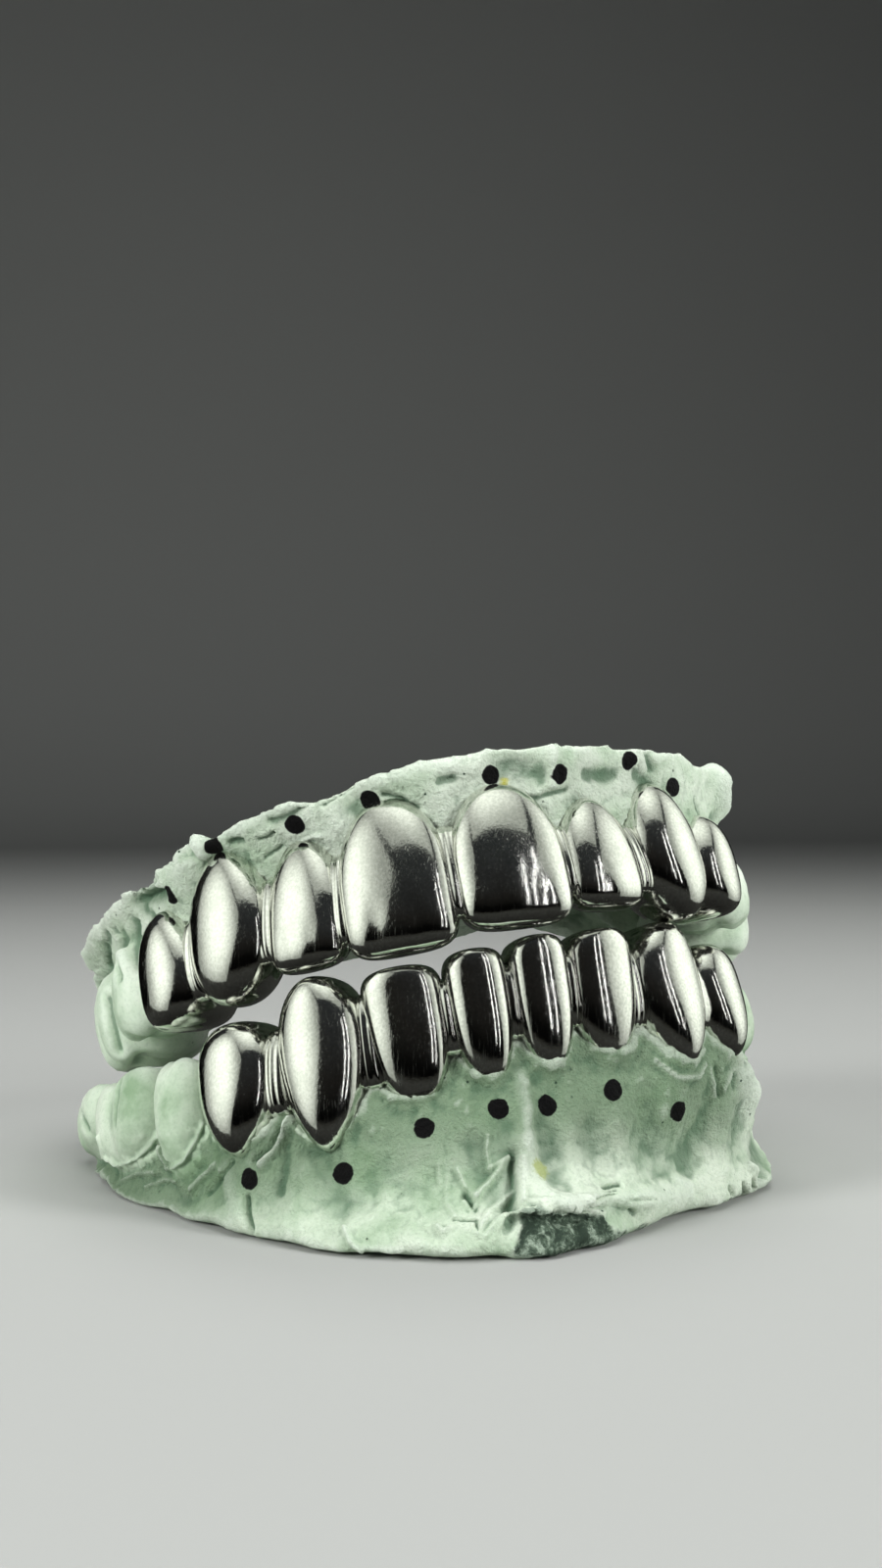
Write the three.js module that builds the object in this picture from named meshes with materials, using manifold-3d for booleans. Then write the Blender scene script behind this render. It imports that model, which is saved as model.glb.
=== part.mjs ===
// A pair of grillz, upper and lower, each a row of eight hollow metal tooth caps fused side by side,
// fitted on two dental stone casts. The upper cast rests on the lower one, and the lower one on the table.
// Millimetres and degrees. +Z is up, the front teeth face -Y, and the table is the plane z = 0.
import * as THREE from "three";
import { mergeVertices } from "three/addons/utils/BufferGeometryUtils.js";
import Module from "manifold-3d";

// Metal
const capWall = 0.7; // thickness of a cap
const capOverlap = 0.3; // how far each side of a cap runs into the next one
const seatGap = 0.42; // air between the metal and the stone
const bar = { width: 2.1, sunk: 0.42, tipInset: 1.6, gumLap: 1.2, back: 2.6 }; // solder bar between two caps

// Stone
const papilla = 3.6; // how far the gum rises between two teeth
const rootSwell = 0.45; // root bulge on the gum in front of each tooth
const endPad = 3.5; // gum behind the last molar
const stoneSpacing = 0.35; // bare stone teeth are this much narrower than their place in the row

// How finely the surfaces are faceted
const capSides = 12;
const capRings = 4;
const barSides = 8;
const barRings = 3;
const toothSides = 8;
const toothRings = 3;
const stationsPerTooth = 2;
const archSteps = 400;
const mergeDistance = 1e-4;

// Tooth forms. front and back are how far the crown bulges to the lips and to the tongue, in millimetres.
// belly is where it is widest, as a share of its height. The other columns shape its outline: a large flat
// keeps the side full for longer, and a large point makes the end sharper. square is the cross-section's, and
// dish is how deep the middle of the chewing face lies.
const forms = {
  upperCentral: { front: 2.3, back: 3.6, belly: 0.42, tipFlat: 5, tipPoint: 0.22, gumFlat: 2.3, gumPoint: 0.5, square: 2.5, dish: 0 },
  upperLateral: { front: 2.2, back: 3.3, belly: 0.42, tipFlat: 4.5, tipPoint: 0.24, gumFlat: 2.2, gumPoint: 0.52, square: 2.3, dish: 0 },
  upperCanine: { front: 3.0, back: 4.2, belly: 0.45, tipFlat: 2.2, tipPoint: 0.5, gumFlat: 2.2, gumPoint: 0.5, square: 2.1, dish: 0 },
  lowerIncisor: { front: 2.2, back: 3.0, belly: 0.36, tipFlat: 5, tipPoint: 0.22, gumFlat: 2.6, gumPoint: 0.45, square: 2.5, dish: 0 },
  lowerCanine: { front: 2.9, back: 3.8, belly: 0.42, tipFlat: 2.6, tipPoint: 0.42, gumFlat: 2.2, gumPoint: 0.52, square: 2.2, dish: 0 },
  premolar: { front: 3.2, back: 4.6, belly: 0.42, tipFlat: 2.6, tipPoint: 0.4, gumFlat: 2.2, gumPoint: 0.52, square: 2.3, dish: 0 },
  molar: { front: 3.4, back: 7.0, belly: 0.45, tipFlat: 4, tipPoint: 0.28, gumFlat: 2.6, gumPoint: 0.45, square: 2.8, dish: 1.1 },
};

const depthFall = { flat: 2.5, point: 0.42 }; // the same two for how a crown thins from front to back

// The rows of teeth, from -X to +X. width is along the arch, gum how far the gum line lies from the biting
// plane, edge how far the crown stands past that plane, and out how far its gum end stands out of the arch.
// rim is how far the base of the cast stands out of the arch there, and lean how far its tip leans to +X.
const upperTeeth = [
  { form: "molar", width: 9.5, gum: 7.0, edge: 0.8, out: 0.6, rim: 3.6, lean: 0, capped: false },
  { form: "molar", width: 10.0, gum: 7.5, edge: 2.2, out: 0.6, rim: 3.2, lean: 0, capped: false },
  { form: "premolar", width: 7.0, gum: 8.0, edge: 1.2, out: 0.3, rim: 2.2, lean: 0, capped: false },
  { form: "premolar", width: 7.4, gum: 8.3, edge: 1.3, out: -0.1, rim: 1.4, lean: 0.4, capped: true },
  { form: "upperCanine", width: 8.3, gum: 11.2, edge: 1.0, out: -1.0, rim: 1.0, lean: 0, capped: true },
  { form: "upperLateral", width: 6.6, gum: 10.4, edge: -0.1, out: -1.9, rim: 0.8, lean: 0, capped: true },
  { form: "upperCentral", width: 8.8, gum: 11.7, edge: 0.3, out: -1.3, rim: 0.8, lean: 0, capped: true },
  { form: "upperCentral", width: 9.0, gum: 11.9, edge: -0.4, out: -1.1, rim: 0.8, lean: 0, capped: true },
  { form: "upperLateral", width: 6.8, gum: 10.4, edge: -1.3, out: -1.2, rim: 0.8, lean: 0, capped: true },
  { form: "upperCanine", width: 7.2, gum: 11.8, edge: -0.5, out: -0.6, rim: 0.8, lean: 1.0, capped: true },
  { form: "premolar", width: 6.3, gum: 9.4, edge: -1.2, out: 0.1, rim: 1.4, lean: 0.6, capped: true },
  { form: "premolar", width: 6.8, gum: 8.2, edge: -0.4, out: 0.2, rim: 2.4, lean: 0, capped: false },
  { form: "molar", width: 10.0, gum: 7.5, edge: 1.2, out: 0.2, rim: 2.4, lean: 0, capped: false },
  { form: "molar", width: 9.5, gum: 7.0, edge: 1.6, out: 0.2, rim: 2.2, lean: 0, capped: false },
];
const lowerTeeth = [
  { form: "molar", width: 10.2, gum: 5.6, edge: 0.4, out: 0.8, rim: 2.2, lean: 0, capped: false },
  { form: "molar", width: 10.8, gum: 7.6, edge: -0.6, out: 0.8, rim: 2.6, lean: 0, capped: false },
  { form: "premolar", width: 7.4, gum: 9.6, edge: -1.4, out: 0.9, rim: 2.4, lean: 0, capped: false },
  { form: "premolar", width: 7.3, gum: 11.0, edge: -1.0, out: 1.2, rim: 2.8, lean: 0, capped: true },
  { form: "lowerCanine", width: 7.1, gum: 12.1, edge: 0.7, out: 1.0, rim: 4.0, lean: 0.4, capped: true },
  { form: "lowerIncisor", width: 6.3, gum: 9.9, edge: 0.0, out: -0.4, rim: 4.6, lean: 0, capped: true },
  { form: "lowerIncisor", width: 4.9, gum: 9.2, edge: 0.4, out: -0.6, rim: 3.6, lean: 0, capped: true },
  { form: "lowerIncisor", width: 4.9, gum: 8.8, edge: 0.9, out: -0.8, rim: 1.6, lean: 0, capped: true },
  { form: "lowerIncisor", width: 5.9, gum: 8.4, edge: 1.1, out: -0.8, rim: -0.6, lean: 0, capped: true },
  { form: "lowerCanine", width: 7.2, gum: 9.5, edge: 1.8, out: 0.4, rim: -2.0, lean: -0.3, capped: true },
  { form: "premolar", width: 6.4, gum: 8.7, edge: 0.7, out: 0.8, rim: -1.0, lean: 0, capped: true },
  { form: "premolar", width: 7.2, gum: 8.2, edge: -0.6, out: 0.6, rim: 1.8, lean: 0, capped: false },
  { form: "molar", width: 10.8, gum: 7.4, edge: 0.2, out: 0.6, rim: 3.2, lean: 0, capped: false },
  { form: "molar", width: 10.2, gum: 6.4, edge: 0.6, out: 0.6, rim: 3.4, lean: 0, capped: false },
];

// The gum's outside, from the ridge between the teeth to the cast's base. down is the share of the way
// there. toRim eases the surface from the gum line (0) to the rim of the base (1), and out adds to that.
const upperGumFace = [
  { down: 0.0, toRim: 0, out: -1.2 },
  { down: 0.14, toRim: 0, out: 0.1 },
  { down: 0.5, toRim: 0.3, out: 0.5 },
  { down: 0.8, toRim: 0.8, out: 0.3 },
  { down: 1.0, toRim: 1, out: 0 },
];
const lowerGumFace = [
  { down: 0.0, toRim: 0, out: -1.2 },
  { down: 0.1, toRim: 0, out: 0.1 },
  { down: 0.34, toRim: 0.2, out: 0.4 },
  { down: 0.62, toRim: 0.6, out: -0.3 },
  { down: 0.92, toRim: 1, out: 0 },
  { down: 1.0, toRim: 1, out: -2.5 },
];
// The gum's inside, from the base back to the ridge, measured inwards from the back of the teeth.
const palateFace = [
  { down: 1.0, inward: 7.5 },
  { down: 0.66, inward: 7.5 },
  { down: 0.4, inward: 3.0 },
  { down: 0.12, inward: 1.0 },
  { down: 0.0, inward: -0.8 },
];
const tongueFace = [
  { down: 1.0, inward: 3.2 },
  { down: 0.5, inward: 2.0 },
  { down: 0.12, inward: 1.0 },
  { down: 0.0, inward: -0.8 },
];
const roofInset = 5.5; // how far inside the back of the teeth the roof plate of the upper cast starts
const roofSteps = 16; // points round its edge

// The two jaws. Each side of the arch is a quarter of an ellipse, width wide and depth deep, that runs
// straight on behind, and the +X side is the narrower one.
// gumSide is +1 where the gum is above the teeth. middle is where the row's midline meets the arch, from its
// foremost point, and at is where that foremost point of the biting plane stands.
const lowerJaw = {
  left: { width: 27.5, depth: 34.0 },
  right: { width: 23.6, depth: 25.0 },
  gumSide: -1,
  teeth: lowerTeeth,
  gumFace: lowerGumFace,
  tongueSide: tongueFace,
  middle: -0.3,
  at: { x: 0.0, y: -22.0, z: 20.8 },
  turn: { yaw: 0.0, roll: -5.0, pitch: -19.0 },
};
// How the upper jaw rests on the lower one: the step between the foremost points of their biting planes.
const bite = { x: -3.2, y: -2.1, z: 1.3 };
const upperJaw = {
  left: { width: 28.0, depth: 36.5 },
  right: { width: 24.0, depth: 26.8 },
  gumSide: 1,
  teeth: upperTeeth,
  gumFace: upperGumFace,
  tongueSide: palateFace,
  // from the biting plane to the top of the cast, and how that changes for each millimetre along X and Y
  base: { height: 13.9, alongX: 0.06, alongY: -0.05 },
  middle: -0.7,
  at: { x: lowerJaw.at.x + bite.x, y: lowerJaw.at.y + bite.y, z: lowerJaw.at.z + bite.z },
  turn: { yaw: -9.0, roll: -8.0, pitch: -16.0 },
};

const wasm = await Module();
wasm.setup();

// A closed three.js geometry as a manifold-3d solid, and back.
function solidOf(geometry) {
  const plain = geometry.clone();
  plain.deleteAttribute("normal");
  plain.deleteAttribute("uv");
  const merged = mergeVertices(plain, mergeDistance);
  const made = new wasm.Manifold(
    new wasm.Mesh({
      numProp: 3,
      vertProperties: new Float32Array(merged.attributes.position.array),
      triVerts: new Uint32Array(merged.index.array),
    }),
  );
  if (made.volume() < 0) throw new Error("a shell faces inwards");
  return made;
}

function geometryOf(solid) {
  const mesh = solid.getMesh();
  const places = new Float32Array(mesh.numVert * 3);
  for (let i = 0; i < mesh.numVert; i++) {
    places.set(mesh.vertProperties.subarray(i * mesh.numProp, i * mesh.numProp + 3), i * 3);
  }
  const geometry = new THREE.BufferGeometry();
  geometry.setAttribute("position", new THREE.BufferAttribute(places, 3));
  geometry.setIndex(new THREE.BufferAttribute(mesh.triVerts, 1));
  geometry.computeVertexNormals();
  return geometry;
}

const joined = (solids) => solids.reduce((all, one) => all.add(one));

// One side of the arch as a list of points a small step apart, from the front backwards.
function archWalk({ width, depth }) {
  const walk = [{ run: 0, x: 0, y: 0, tx: 1, ty: 0 }];
  for (let i = 1; i <= archSteps; i++) {
    const angle = (i / archSteps) * (Math.PI / 2);
    const x = width * Math.sin(angle);
    const y = depth * (1 - Math.cos(angle));
    const before = walk[i - 1];
    const tx = width * Math.cos(angle);
    const ty = depth * Math.sin(angle);
    const length = Math.hypot(tx, ty);
    walk.push({ run: before.run + Math.hypot(x - before.x, y - before.y), x, y, tx: tx / length, ty: ty / length });
  }
  return walk;
}

// The point of the arch at a distance along it from the middle, its direction, and the way out of it.
function archAt(jaw, along) {
  const side = along < 0 ? -1 : 1;
  const run = Math.abs(along);
  const walk = along < 0 ? jaw.left.walk : jaw.right.walk;
  const last = walk[walk.length - 1];
  let point = { x: last.x, y: last.y + run - last.run, tx: 0, ty: 1 };
  if (run < last.run) {
    const i = walk.findIndex((p) => p.run > run);
    const a = walk[i - 1];
    const b = walk[i];
    const t = (run - a.run) / (b.run - a.run);
    const mix = (key) => a[key] + (b[key] - a[key]) * t;
    point = { x: mix("x"), y: mix("y"), tx: mix("tx"), ty: mix("ty") };
  }
  return { x: side * point.x, y: point.y, tx: point.tx, ty: side * point.ty };
}

// A point given by its distance along the arch, out of it, and from the biting plane towards the gum.
function place(jaw, along, sideways, out, high) {
  const p = archAt(jaw, along);
  return new THREE.Vector3(
    p.x + sideways * p.tx + out * p.ty,
    p.y + sideways * p.ty - out * p.tx,
    jaw.gumSide * high,
  );
}

// Each tooth's middle along the arch, and what the gum needs to know between the teeth.
function layOut(jaw) {
  jaw.left.walk = archWalk(jaw.left);
  jaw.right.walk = archWalk(jaw.right);
  const middle = jaw.teeth.length / 2;
  const total = (teeth) => teeth.reduce((sum, tooth) => sum + tooth.width, 0);
  let edge = jaw.middle - total(jaw.teeth.slice(0, middle));
  jaw.start = edge;
  for (const tooth of jaw.teeth) {
    tooth.from = edge;
    tooth.along = edge + tooth.width / 2;
    tooth.shape = forms[tooth.form];
    edge += tooth.width;
  }
  jaw.end = edge;
}

// A value of the teeth, eased from each tooth's middle to the next one's.
function between(jaw, along, valueOf) {
  const teeth = jaw.teeth;
  const next = teeth.findIndex((tooth) => tooth.along > along);
  if (next === 0) return valueOf(teeth[0]);
  if (next < 0) return valueOf(teeth[teeth.length - 1]);
  const a = teeth[next - 1];
  const b = teeth[next];
  const t = (along - a.along) / (b.along - a.along);
  const eased = t * t * (3 - 2 * t);
  return valueOf(a) * (1 - eased) + valueOf(b) * eased;
}

// A closed surface through rings of equal length, with a pole at each end.
function closedRings(rings, firstPole, lastPole, flipped) {
  const sides = rings[0].length;
  const places = [firstPole, ...rings.flat(), lastPole];
  const at = (ring, side) => 1 + ring * sides + (side % sides);
  const faces = [];
  const face = (a, b, c) => faces.push(...(flipped ? [a, c, b] : [a, b, c]));
  for (let s = 0; s < sides; s++) {
    face(0, at(0, s + 1), at(0, s));
    face(places.length - 1, at(rings.length - 1, s), at(rings.length - 1, s + 1));
    for (let r = 0; r + 1 < rings.length; r++) {
      face(at(r, s), at(r, s + 1), at(r + 1, s + 1));
      face(at(r, s), at(r + 1, s + 1), at(r + 1, s));
    }
  }
  const geometry = new THREE.BufferGeometry().setFromPoints(places);
  geometry.setIndex(faces);
  return geometry;
}

// How full a crown is at a share of the way from its belly to its end.
const fullness = (share, flat, point) => (1 - share ** flat) ** point;

// One crown as an egg of cross-sections stacked from its biting end to its gum end. inset shrinks it on
// every side, which makes the stone tooth and the hollow of its cap from the same form.
function crown(jaw, tooth, inset, sides, rings) {
  const shape = tooth.shape;
  const tip = -tooth.edge + inset;
  const gum = tooth.gum - inset;
  const belly = -tooth.edge + shape.belly * (tooth.gum + tooth.edge);
  const halfWidth = tooth.width / 2 - inset;
  const stack = [];
  for (let ring = 1; ring < 2 * rings; ring++) {
    const turn = (ring / rings) * (Math.PI / 2);
    const share = Math.abs(Math.cos(turn));
    const toTip = ring < rings;
    const high = belly + share * (toTip ? tip - belly : gum - belly);
    const wide = toTip ? fullness(share, shape.tipFlat, shape.tipPoint) : fullness(share, shape.gumFlat, shape.gumPoint);
    const deep = fullness(share, depthFall.flat, depthFall.point);
    const toGum = (high - tip) / (gum - tip);
    const line = tooth.out * toGum;
    const lean = tooth.lean * (1 - toGum);
    const loop = [];
    for (let side = 0; side < sides; side++) {
      const angle = (side / sides) * 2 * Math.PI;
      const round = (value) => Math.sign(value) * Math.abs(value) ** (2 / shape.square);
      const depth = (Math.sin(angle) > 0 ? shape.front : shape.back) - inset;
      const sideways = halfWidth * wide * round(Math.cos(angle));
      loop.push(place(jaw, tooth.along, sideways + lean, line + depth * deep * round(Math.sin(angle)), high));
    }
    stack.push(loop);
  }
  const tipPole = place(jaw, tooth.along, tooth.lean, 0, tip + shape.dish);
  const gumPole = place(jaw, tooth.along, 0, tooth.out, gum);
  return solidOf(closedRings(stack, tipPole, gumPole, jaw.gumSide > 0));
}

// The bar of solder between two neighbouring caps.
function solderBar(jaw, tooth, next) {
  const least = (key) => Math.min(tooth[key], next[key]);
  const front = (1 - bar.sunk) * Math.min(tooth.shape.front, next.shape.front);
  const barForm = {
    front,
    back: bar.back,
    belly: 0.5,
    tipFlat: 6,
    tipPoint: 0.2,
    gumFlat: 6,
    gumPoint: 0.2,
    square: 2.6,
    dish: 0,
  };
  const piece = {
    along: next.from,
    width: bar.width,
    edge: least("edge") - bar.tipInset,
    gum: (tooth.gum + next.gum) / 2 - papilla + bar.gumLap,
    out: (tooth.out + next.out) / 2,
    lean: (tooth.lean + next.lean) / 2,
    shape: barForm,
  };
  return crown(jaw, piece, 0, barSides, barRings);
}

// The cast's base, as a distance from the biting plane towards the gum, at a point of the arch.
function baseHigh(jaw, x, y) {
  if (jaw.base) return jaw.base.height + jaw.base.alongX * x + jaw.base.alongY * y;
  const up = new THREE.Vector3(0, 0, 1).applyQuaternion(jaw.rotation.clone().invert());
  return (jaw.at.z + up.x * x + up.y * y) / up.z;
}

// A point of the gum's surface at a place along the arch. down is its share of the way from the ridge between
// the teeth to the base.
function gumPoint(jaw, along, down, out, gap) {
  const flat = place(jaw, along, 0, out, 0);
  const ridge = between(jaw, along, (tooth) => tooth.gum) - papilla;
  const raised = down === 0 ? gap : 0;
  return place(jaw, along, 0, out, ridge - raised + down * (baseHigh(jaw, flat.x, flat.y) - ridge));
}

// The same on its inner side, a distance inwards from the back of the teeth.
function innerPoint(jaw, along, down, inward, gap) {
  const back = between(jaw, along, (tooth) => tooth.out - tooth.shape.back);
  return gumPoint(jaw, along, down, back - inward - gap, gap);
}

// One cross-section of the gum, as a loop from the outside of the ridge to the base and back inside.
function gumSection(jaw, along, gap) {
  const line = between(jaw, along, (tooth) => tooth.out);
  const rim = between(jaw, along, (tooth) => tooth.rim);
  const tooth = jaw.teeth.find((t) => along < t.from + t.width) ?? jaw.teeth[jaw.teeth.length - 1];
  const swell = -rootSwell * Math.cos((2 * Math.PI * (along - tooth.from)) / tooth.width);
  const outside = jaw.gumFace.map(({ down, toRim, out }) => {
    const bulge = swell * Math.sin(Math.PI * down);
    return gumPoint(jaw, along, down, line + toRim * (rim - line) + out + bulge + gap, gap);
  });
  const inside = jaw.tongueSide.map(({ down, inward }) => innerPoint(jaw, along, down, inward, gap));
  return [...outside, ...inside];
}

// The gum as a horseshoe lofted through its cross-sections, with flat ends.
function horseshoe(jaw, gap) {
  const stations = [jaw.start - endPad];
  for (const tooth of jaw.teeth) {
    for (let i = 0; i < stationsPerTooth; i++) stations.push(tooth.from + (i / stationsPerTooth) * tooth.width);
  }
  stations.push(jaw.end, jaw.end + endPad);
  const loops = stations.map((along) => gumSection(jaw, along, gap));
  const count = loops[0].length;
  const faces = [];
  const face = (a, b, c) => faces.push(...(jaw.gumSide > 0 ? [a, b, c] : [a, c, b]));
  const at = (loop, i) => loop * count + (i % count);
  for (let loop = 0; loop + 1 < loops.length; loop++) {
    for (let i = 0; i < count; i++) {
      face(at(loop, i), at(loop + 1, i), at(loop + 1, i + 1));
      face(at(loop, i), at(loop + 1, i + 1), at(loop, i + 1));
    }
  }
  endFaces(loops[0]).forEach(([a, b, c]) => face(a, b, c));
  const last = (loops.length - 1) * count;
  endFaces(loops[loops.length - 1]).forEach(([a, b, c]) => face(last + a, last + c, last + b));
  const geometry = new THREE.BufferGeometry().setFromPoints(loops.flat());
  geometry.setIndex(faces);
  return solidOf(geometry);
}

// The triangles that close a flat loop, which lies across the arch where the arch runs straight back.
function endFaces(loop) {
  const outline = loop.map((p) => new THREE.Vector2(p.x, p.z));
  const triangles = THREE.ShapeUtils.triangulateShape(outline, []);
  return THREE.ShapeUtils.area(outline) > 0 ? triangles : triangles.map(([a, b, c]) => [a, c, b]);
}

// The plate that closes the roof of the upper cast between the two sides of its horseshoe.
function roofPlate(jaw) {
  const ends = [jaw.start - endPad, jaw.end + endPad];
  const roof = jaw.tongueSide[1].down;
  const rings = [roof, 1].map((down) => {
    const step = (i) => ends[0] + (i / roofSteps) * (ends[1] - ends[0]);
    return Array.from({ length: roofSteps + 1 }, (_, i) => innerPoint(jaw, step(i), down, roofInset, 0));
  });
  const outline = rings[1].map((p) => new THREE.Vector2(p.x, p.y));
  const count = outline.length;
  const faces = [];
  const lid = THREE.ShapeUtils.triangulateShape(outline, []);
  for (let i = 0; i < count; i++) {
    const j = (i + 1) % count;
    faces.push(i, j, count + j, i, count + j, count + i);
  }
  lid.forEach(([a, b, c]) => faces.push(a, c, b, count + a, count + b, count + c));
  const geometry = new THREE.BufferGeometry().setFromPoints(rings.flat());
  geometry.setIndex(faces);
  return solidOf(geometry);
}

// A stone cast: gum and teeth. With a gap it is the space that the metal has to keep clear of.
function castSolid(jaw, gap) {
  const teeth = jaw.teeth.map((tooth) => {
    const inset = tooth.capped ? capWall + seatGap : stoneSpacing;
    return crown(jaw, tooth, inset - gap, toothSides, toothRings);
  });
  const gum = [horseshoe(jaw, gap)];
  if (jaw.base && gap === 0) gum.push(roofPlate(jaw));
  return joined([...gum, ...teeth]);
}

// A row of caps: crowns run together and joined by bars, cut away where the stone goes.
function grillSolid(jaw) {
  const capped = jaw.teeth.filter((tooth) => tooth.capped);
  const caps = capped.map((tooth) => {
    const wider = { ...tooth, width: tooth.width + 2 * capOverlap };
    return crown(jaw, wider, 0, capSides, capRings);
  });
  const bars = capped.slice(1).map((next, i) => solderBar(jaw, capped[i], next));
  const metal = joined([...caps, ...bars]).subtract(castSolid(jaw, seatGap));
  const pieces = metal.decompose();
  return pieces.reduce((best, piece) => (piece.volume() > best.volume() ? piece : best));
}

const metalFinish = new THREE.MeshStandardMaterial({ color: 0xd9dbd6, metalness: 1, roughness: 0.08 });
const stoneFinish = new THREE.MeshStandardMaterial({ color: 0xa3bca6, metalness: 0, roughness: 0.85 });

function meshOf(name, solid, material) {
  const mesh = new THREE.Mesh(geometryOf(solid), material);
  mesh.name = name;
  return mesh;
}

// A jaw as a group: everything in it is modelled on its biting plane, then turned and set in its place.
function jawGroup(name, jaw) {
  const radians = THREE.MathUtils.degToRad;
  const turn = new THREE.Euler(radians(jaw.turn.pitch), radians(jaw.turn.roll), radians(jaw.turn.yaw), "ZYX");
  jaw.rotation = new THREE.Quaternion().setFromEuler(turn);
  layOut(jaw);
  const group = new THREE.Group();
  group.quaternion.copy(jaw.rotation);
  group.position.set(jaw.at.x, jaw.at.y, jaw.at.z);
  group.add(meshOf(`${name}_grillz`, grillSolid(jaw), metalFinish));
  group.add(meshOf(`${name}_cast`, castSolid(jaw, 0), stoneFinish));
  return group;
}

// The origin is the middle of the whole, at the table.
const grillz = new THREE.Group();
grillz.add(jawGroup("upper", upperJaw), jawGroup("lower", lowerJaw));
const middle = new THREE.Box3().setFromObject(grillz, true).getCenter(new THREE.Vector3());
grillz.position.set(-middle.x, -middle.y, 0);
export default grillz;
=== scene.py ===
# %% [markdown]
# # Two rows of polished tooth caps on dental stone casts
# The caps are cast in silver on a wax pattern, soldered side by side and polished until they mirror the
# room. They are shown on the plaster-like stone casts that they were made on, one jaw stacked on the
# other. Everything below is worked out in millimetres, and turned to Blender's metres where a mesh is
# made.

import math
from collections import namedtuple

import bmesh
import bpy
import numpy as np
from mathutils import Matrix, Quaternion, Vector, noise
from mathutils.bvhtree import BVHTree
from mathutils.kdtree import KDTree


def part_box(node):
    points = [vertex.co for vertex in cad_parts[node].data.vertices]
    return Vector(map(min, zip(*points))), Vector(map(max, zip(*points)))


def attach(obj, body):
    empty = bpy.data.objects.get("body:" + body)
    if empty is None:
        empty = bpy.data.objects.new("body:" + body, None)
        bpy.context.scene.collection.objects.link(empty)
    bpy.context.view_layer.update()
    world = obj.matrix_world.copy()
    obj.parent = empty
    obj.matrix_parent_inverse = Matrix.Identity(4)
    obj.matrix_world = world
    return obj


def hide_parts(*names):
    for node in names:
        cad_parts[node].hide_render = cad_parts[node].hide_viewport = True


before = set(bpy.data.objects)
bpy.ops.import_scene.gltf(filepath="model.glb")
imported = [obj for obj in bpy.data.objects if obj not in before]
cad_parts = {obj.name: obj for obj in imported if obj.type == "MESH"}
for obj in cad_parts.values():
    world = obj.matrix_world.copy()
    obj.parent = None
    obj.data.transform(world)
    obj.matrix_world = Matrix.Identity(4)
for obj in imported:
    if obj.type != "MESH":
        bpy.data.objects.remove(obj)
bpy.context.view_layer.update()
mm = 0.001

# %% [markdown]
# ## The camera
# The photograph was taken from close by, level, and a little to the left of the lower cast's middle. Its
# place was found by matching the tips and gum ends of the caps. It comes first, because the marks on the
# stone are placed through it: a line from the camera through a pixel of the photograph ends on the stone
# behind that pixel.

# %% Camera
photo_width, photo_height = 900, 1600
lens, sensor = 45.0, 36.0
camera_turn = math.radians(-14.83)
camera_at = np.array([-42.95, -162.0, 33.6])
camera_data = bpy.data.cameras.new("camera")
camera_data.lens = lens
camera_data.clip_start = 0.005
camera = bpy.data.objects.new("camera", camera_data)
camera.location = camera_at * mm
camera.rotation_euler = (math.radians(90), 0, camera_turn)
bpy.context.scene.collection.objects.link(camera)
bpy.context.scene.camera = camera
bpy.context.scene.view_settings.view_transform = "Standard"


def line_through(pixel):
    """Unit direction from the camera through a pixel of the photograph."""
    focal = lens / sensor * photo_height
    across = (pixel[0] - photo_width / 2) / focal
    up = (photo_height / 2 - pixel[1]) / focal
    c, s = math.cos(camera_turn), math.sin(camera_turn)
    return Vector((c * across - s, s * across + c, up)).normalized()


# %% [markdown]
# ## The teeth
# A dental technician names each tooth by its form and its place. A row here is a list of teeth from the
# left of the picture to the right, and each tooth is a few sizes: its width, where its gum line and its
# edge lie from the biting plane, and how far it stands out of the arch. One table of forms then shapes
# them all.

# %% Tooth forms and rows
# front and back: how far a crown bulges. belly: the share of its height where it is widest. flat and
# point: how its outline closes towards either end. square: the form of its sections. cusps and lobes: how
# high its cusps stand and how deep its grooves are. straight: how long its front stays straight towards
# the tip.
form_columns = "front back belly tip_flat tip_point gum_flat gum_point square cusps lobes straight"
Form = namedtuple("Form", form_columns)
forms = {
    "upper_central": Form(2.3, 3.6, 0.42, 5.0, 0.22, 2.05, 0.50, 2.3, 0, 0.12, 3.0),
    "upper_lateral": Form(2.2, 3.3, 0.42, 4.5, 0.24, 1.90, 0.53, 2.2, 0, 0.06, 3.0),
    "upper_canine": Form(3.0, 4.2, 0.45, 2.1, 0.52, 1.90, 0.54, 2.1, 0, 0.0, 2.5),
    "lower_incisor": Form(2.2, 3.0, 0.36, 5.0, 0.22, 2.30, 0.48, 2.3, 0, 0.0, 9.0),
    "lower_canine": Form(2.9, 3.8, 0.42, 2.4, 0.45, 1.80, 0.60, 2.1, 0, 0.0, 5.0),
    "premolar": Form(3.2, 4.6, 0.42, 2.4, 0.42, 1.80, 0.60, 2.2, 0, 0.0, 3.5),
    "bare_premolar": Form(3.2, 4.6, 0.42, 2.8, 0.36, 2.0, 0.52, 2.3, 0.9, 0.0, 2.5),
    "molar": Form(3.4, 7.0, 0.45, 4.0, 0.28, 2.6, 0.45, 2.8, 1.7, 0.8, 2.5),
}

# gum and edge: how far the gum line and the biting edge lie from the biting plane. out: how far the gum
# end stands out of the arch. rim: how far the cast's base does there. lean: how far the tip leans to the
# right.
Tooth = namedtuple("Tooth", "form width gum edge out rim lean capped")
bare_forms = ("molar", "bare_premolar")


def row_of_teeth(rows):
    return [Tooth(*row, row[0] not in bare_forms) for row in rows]


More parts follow.
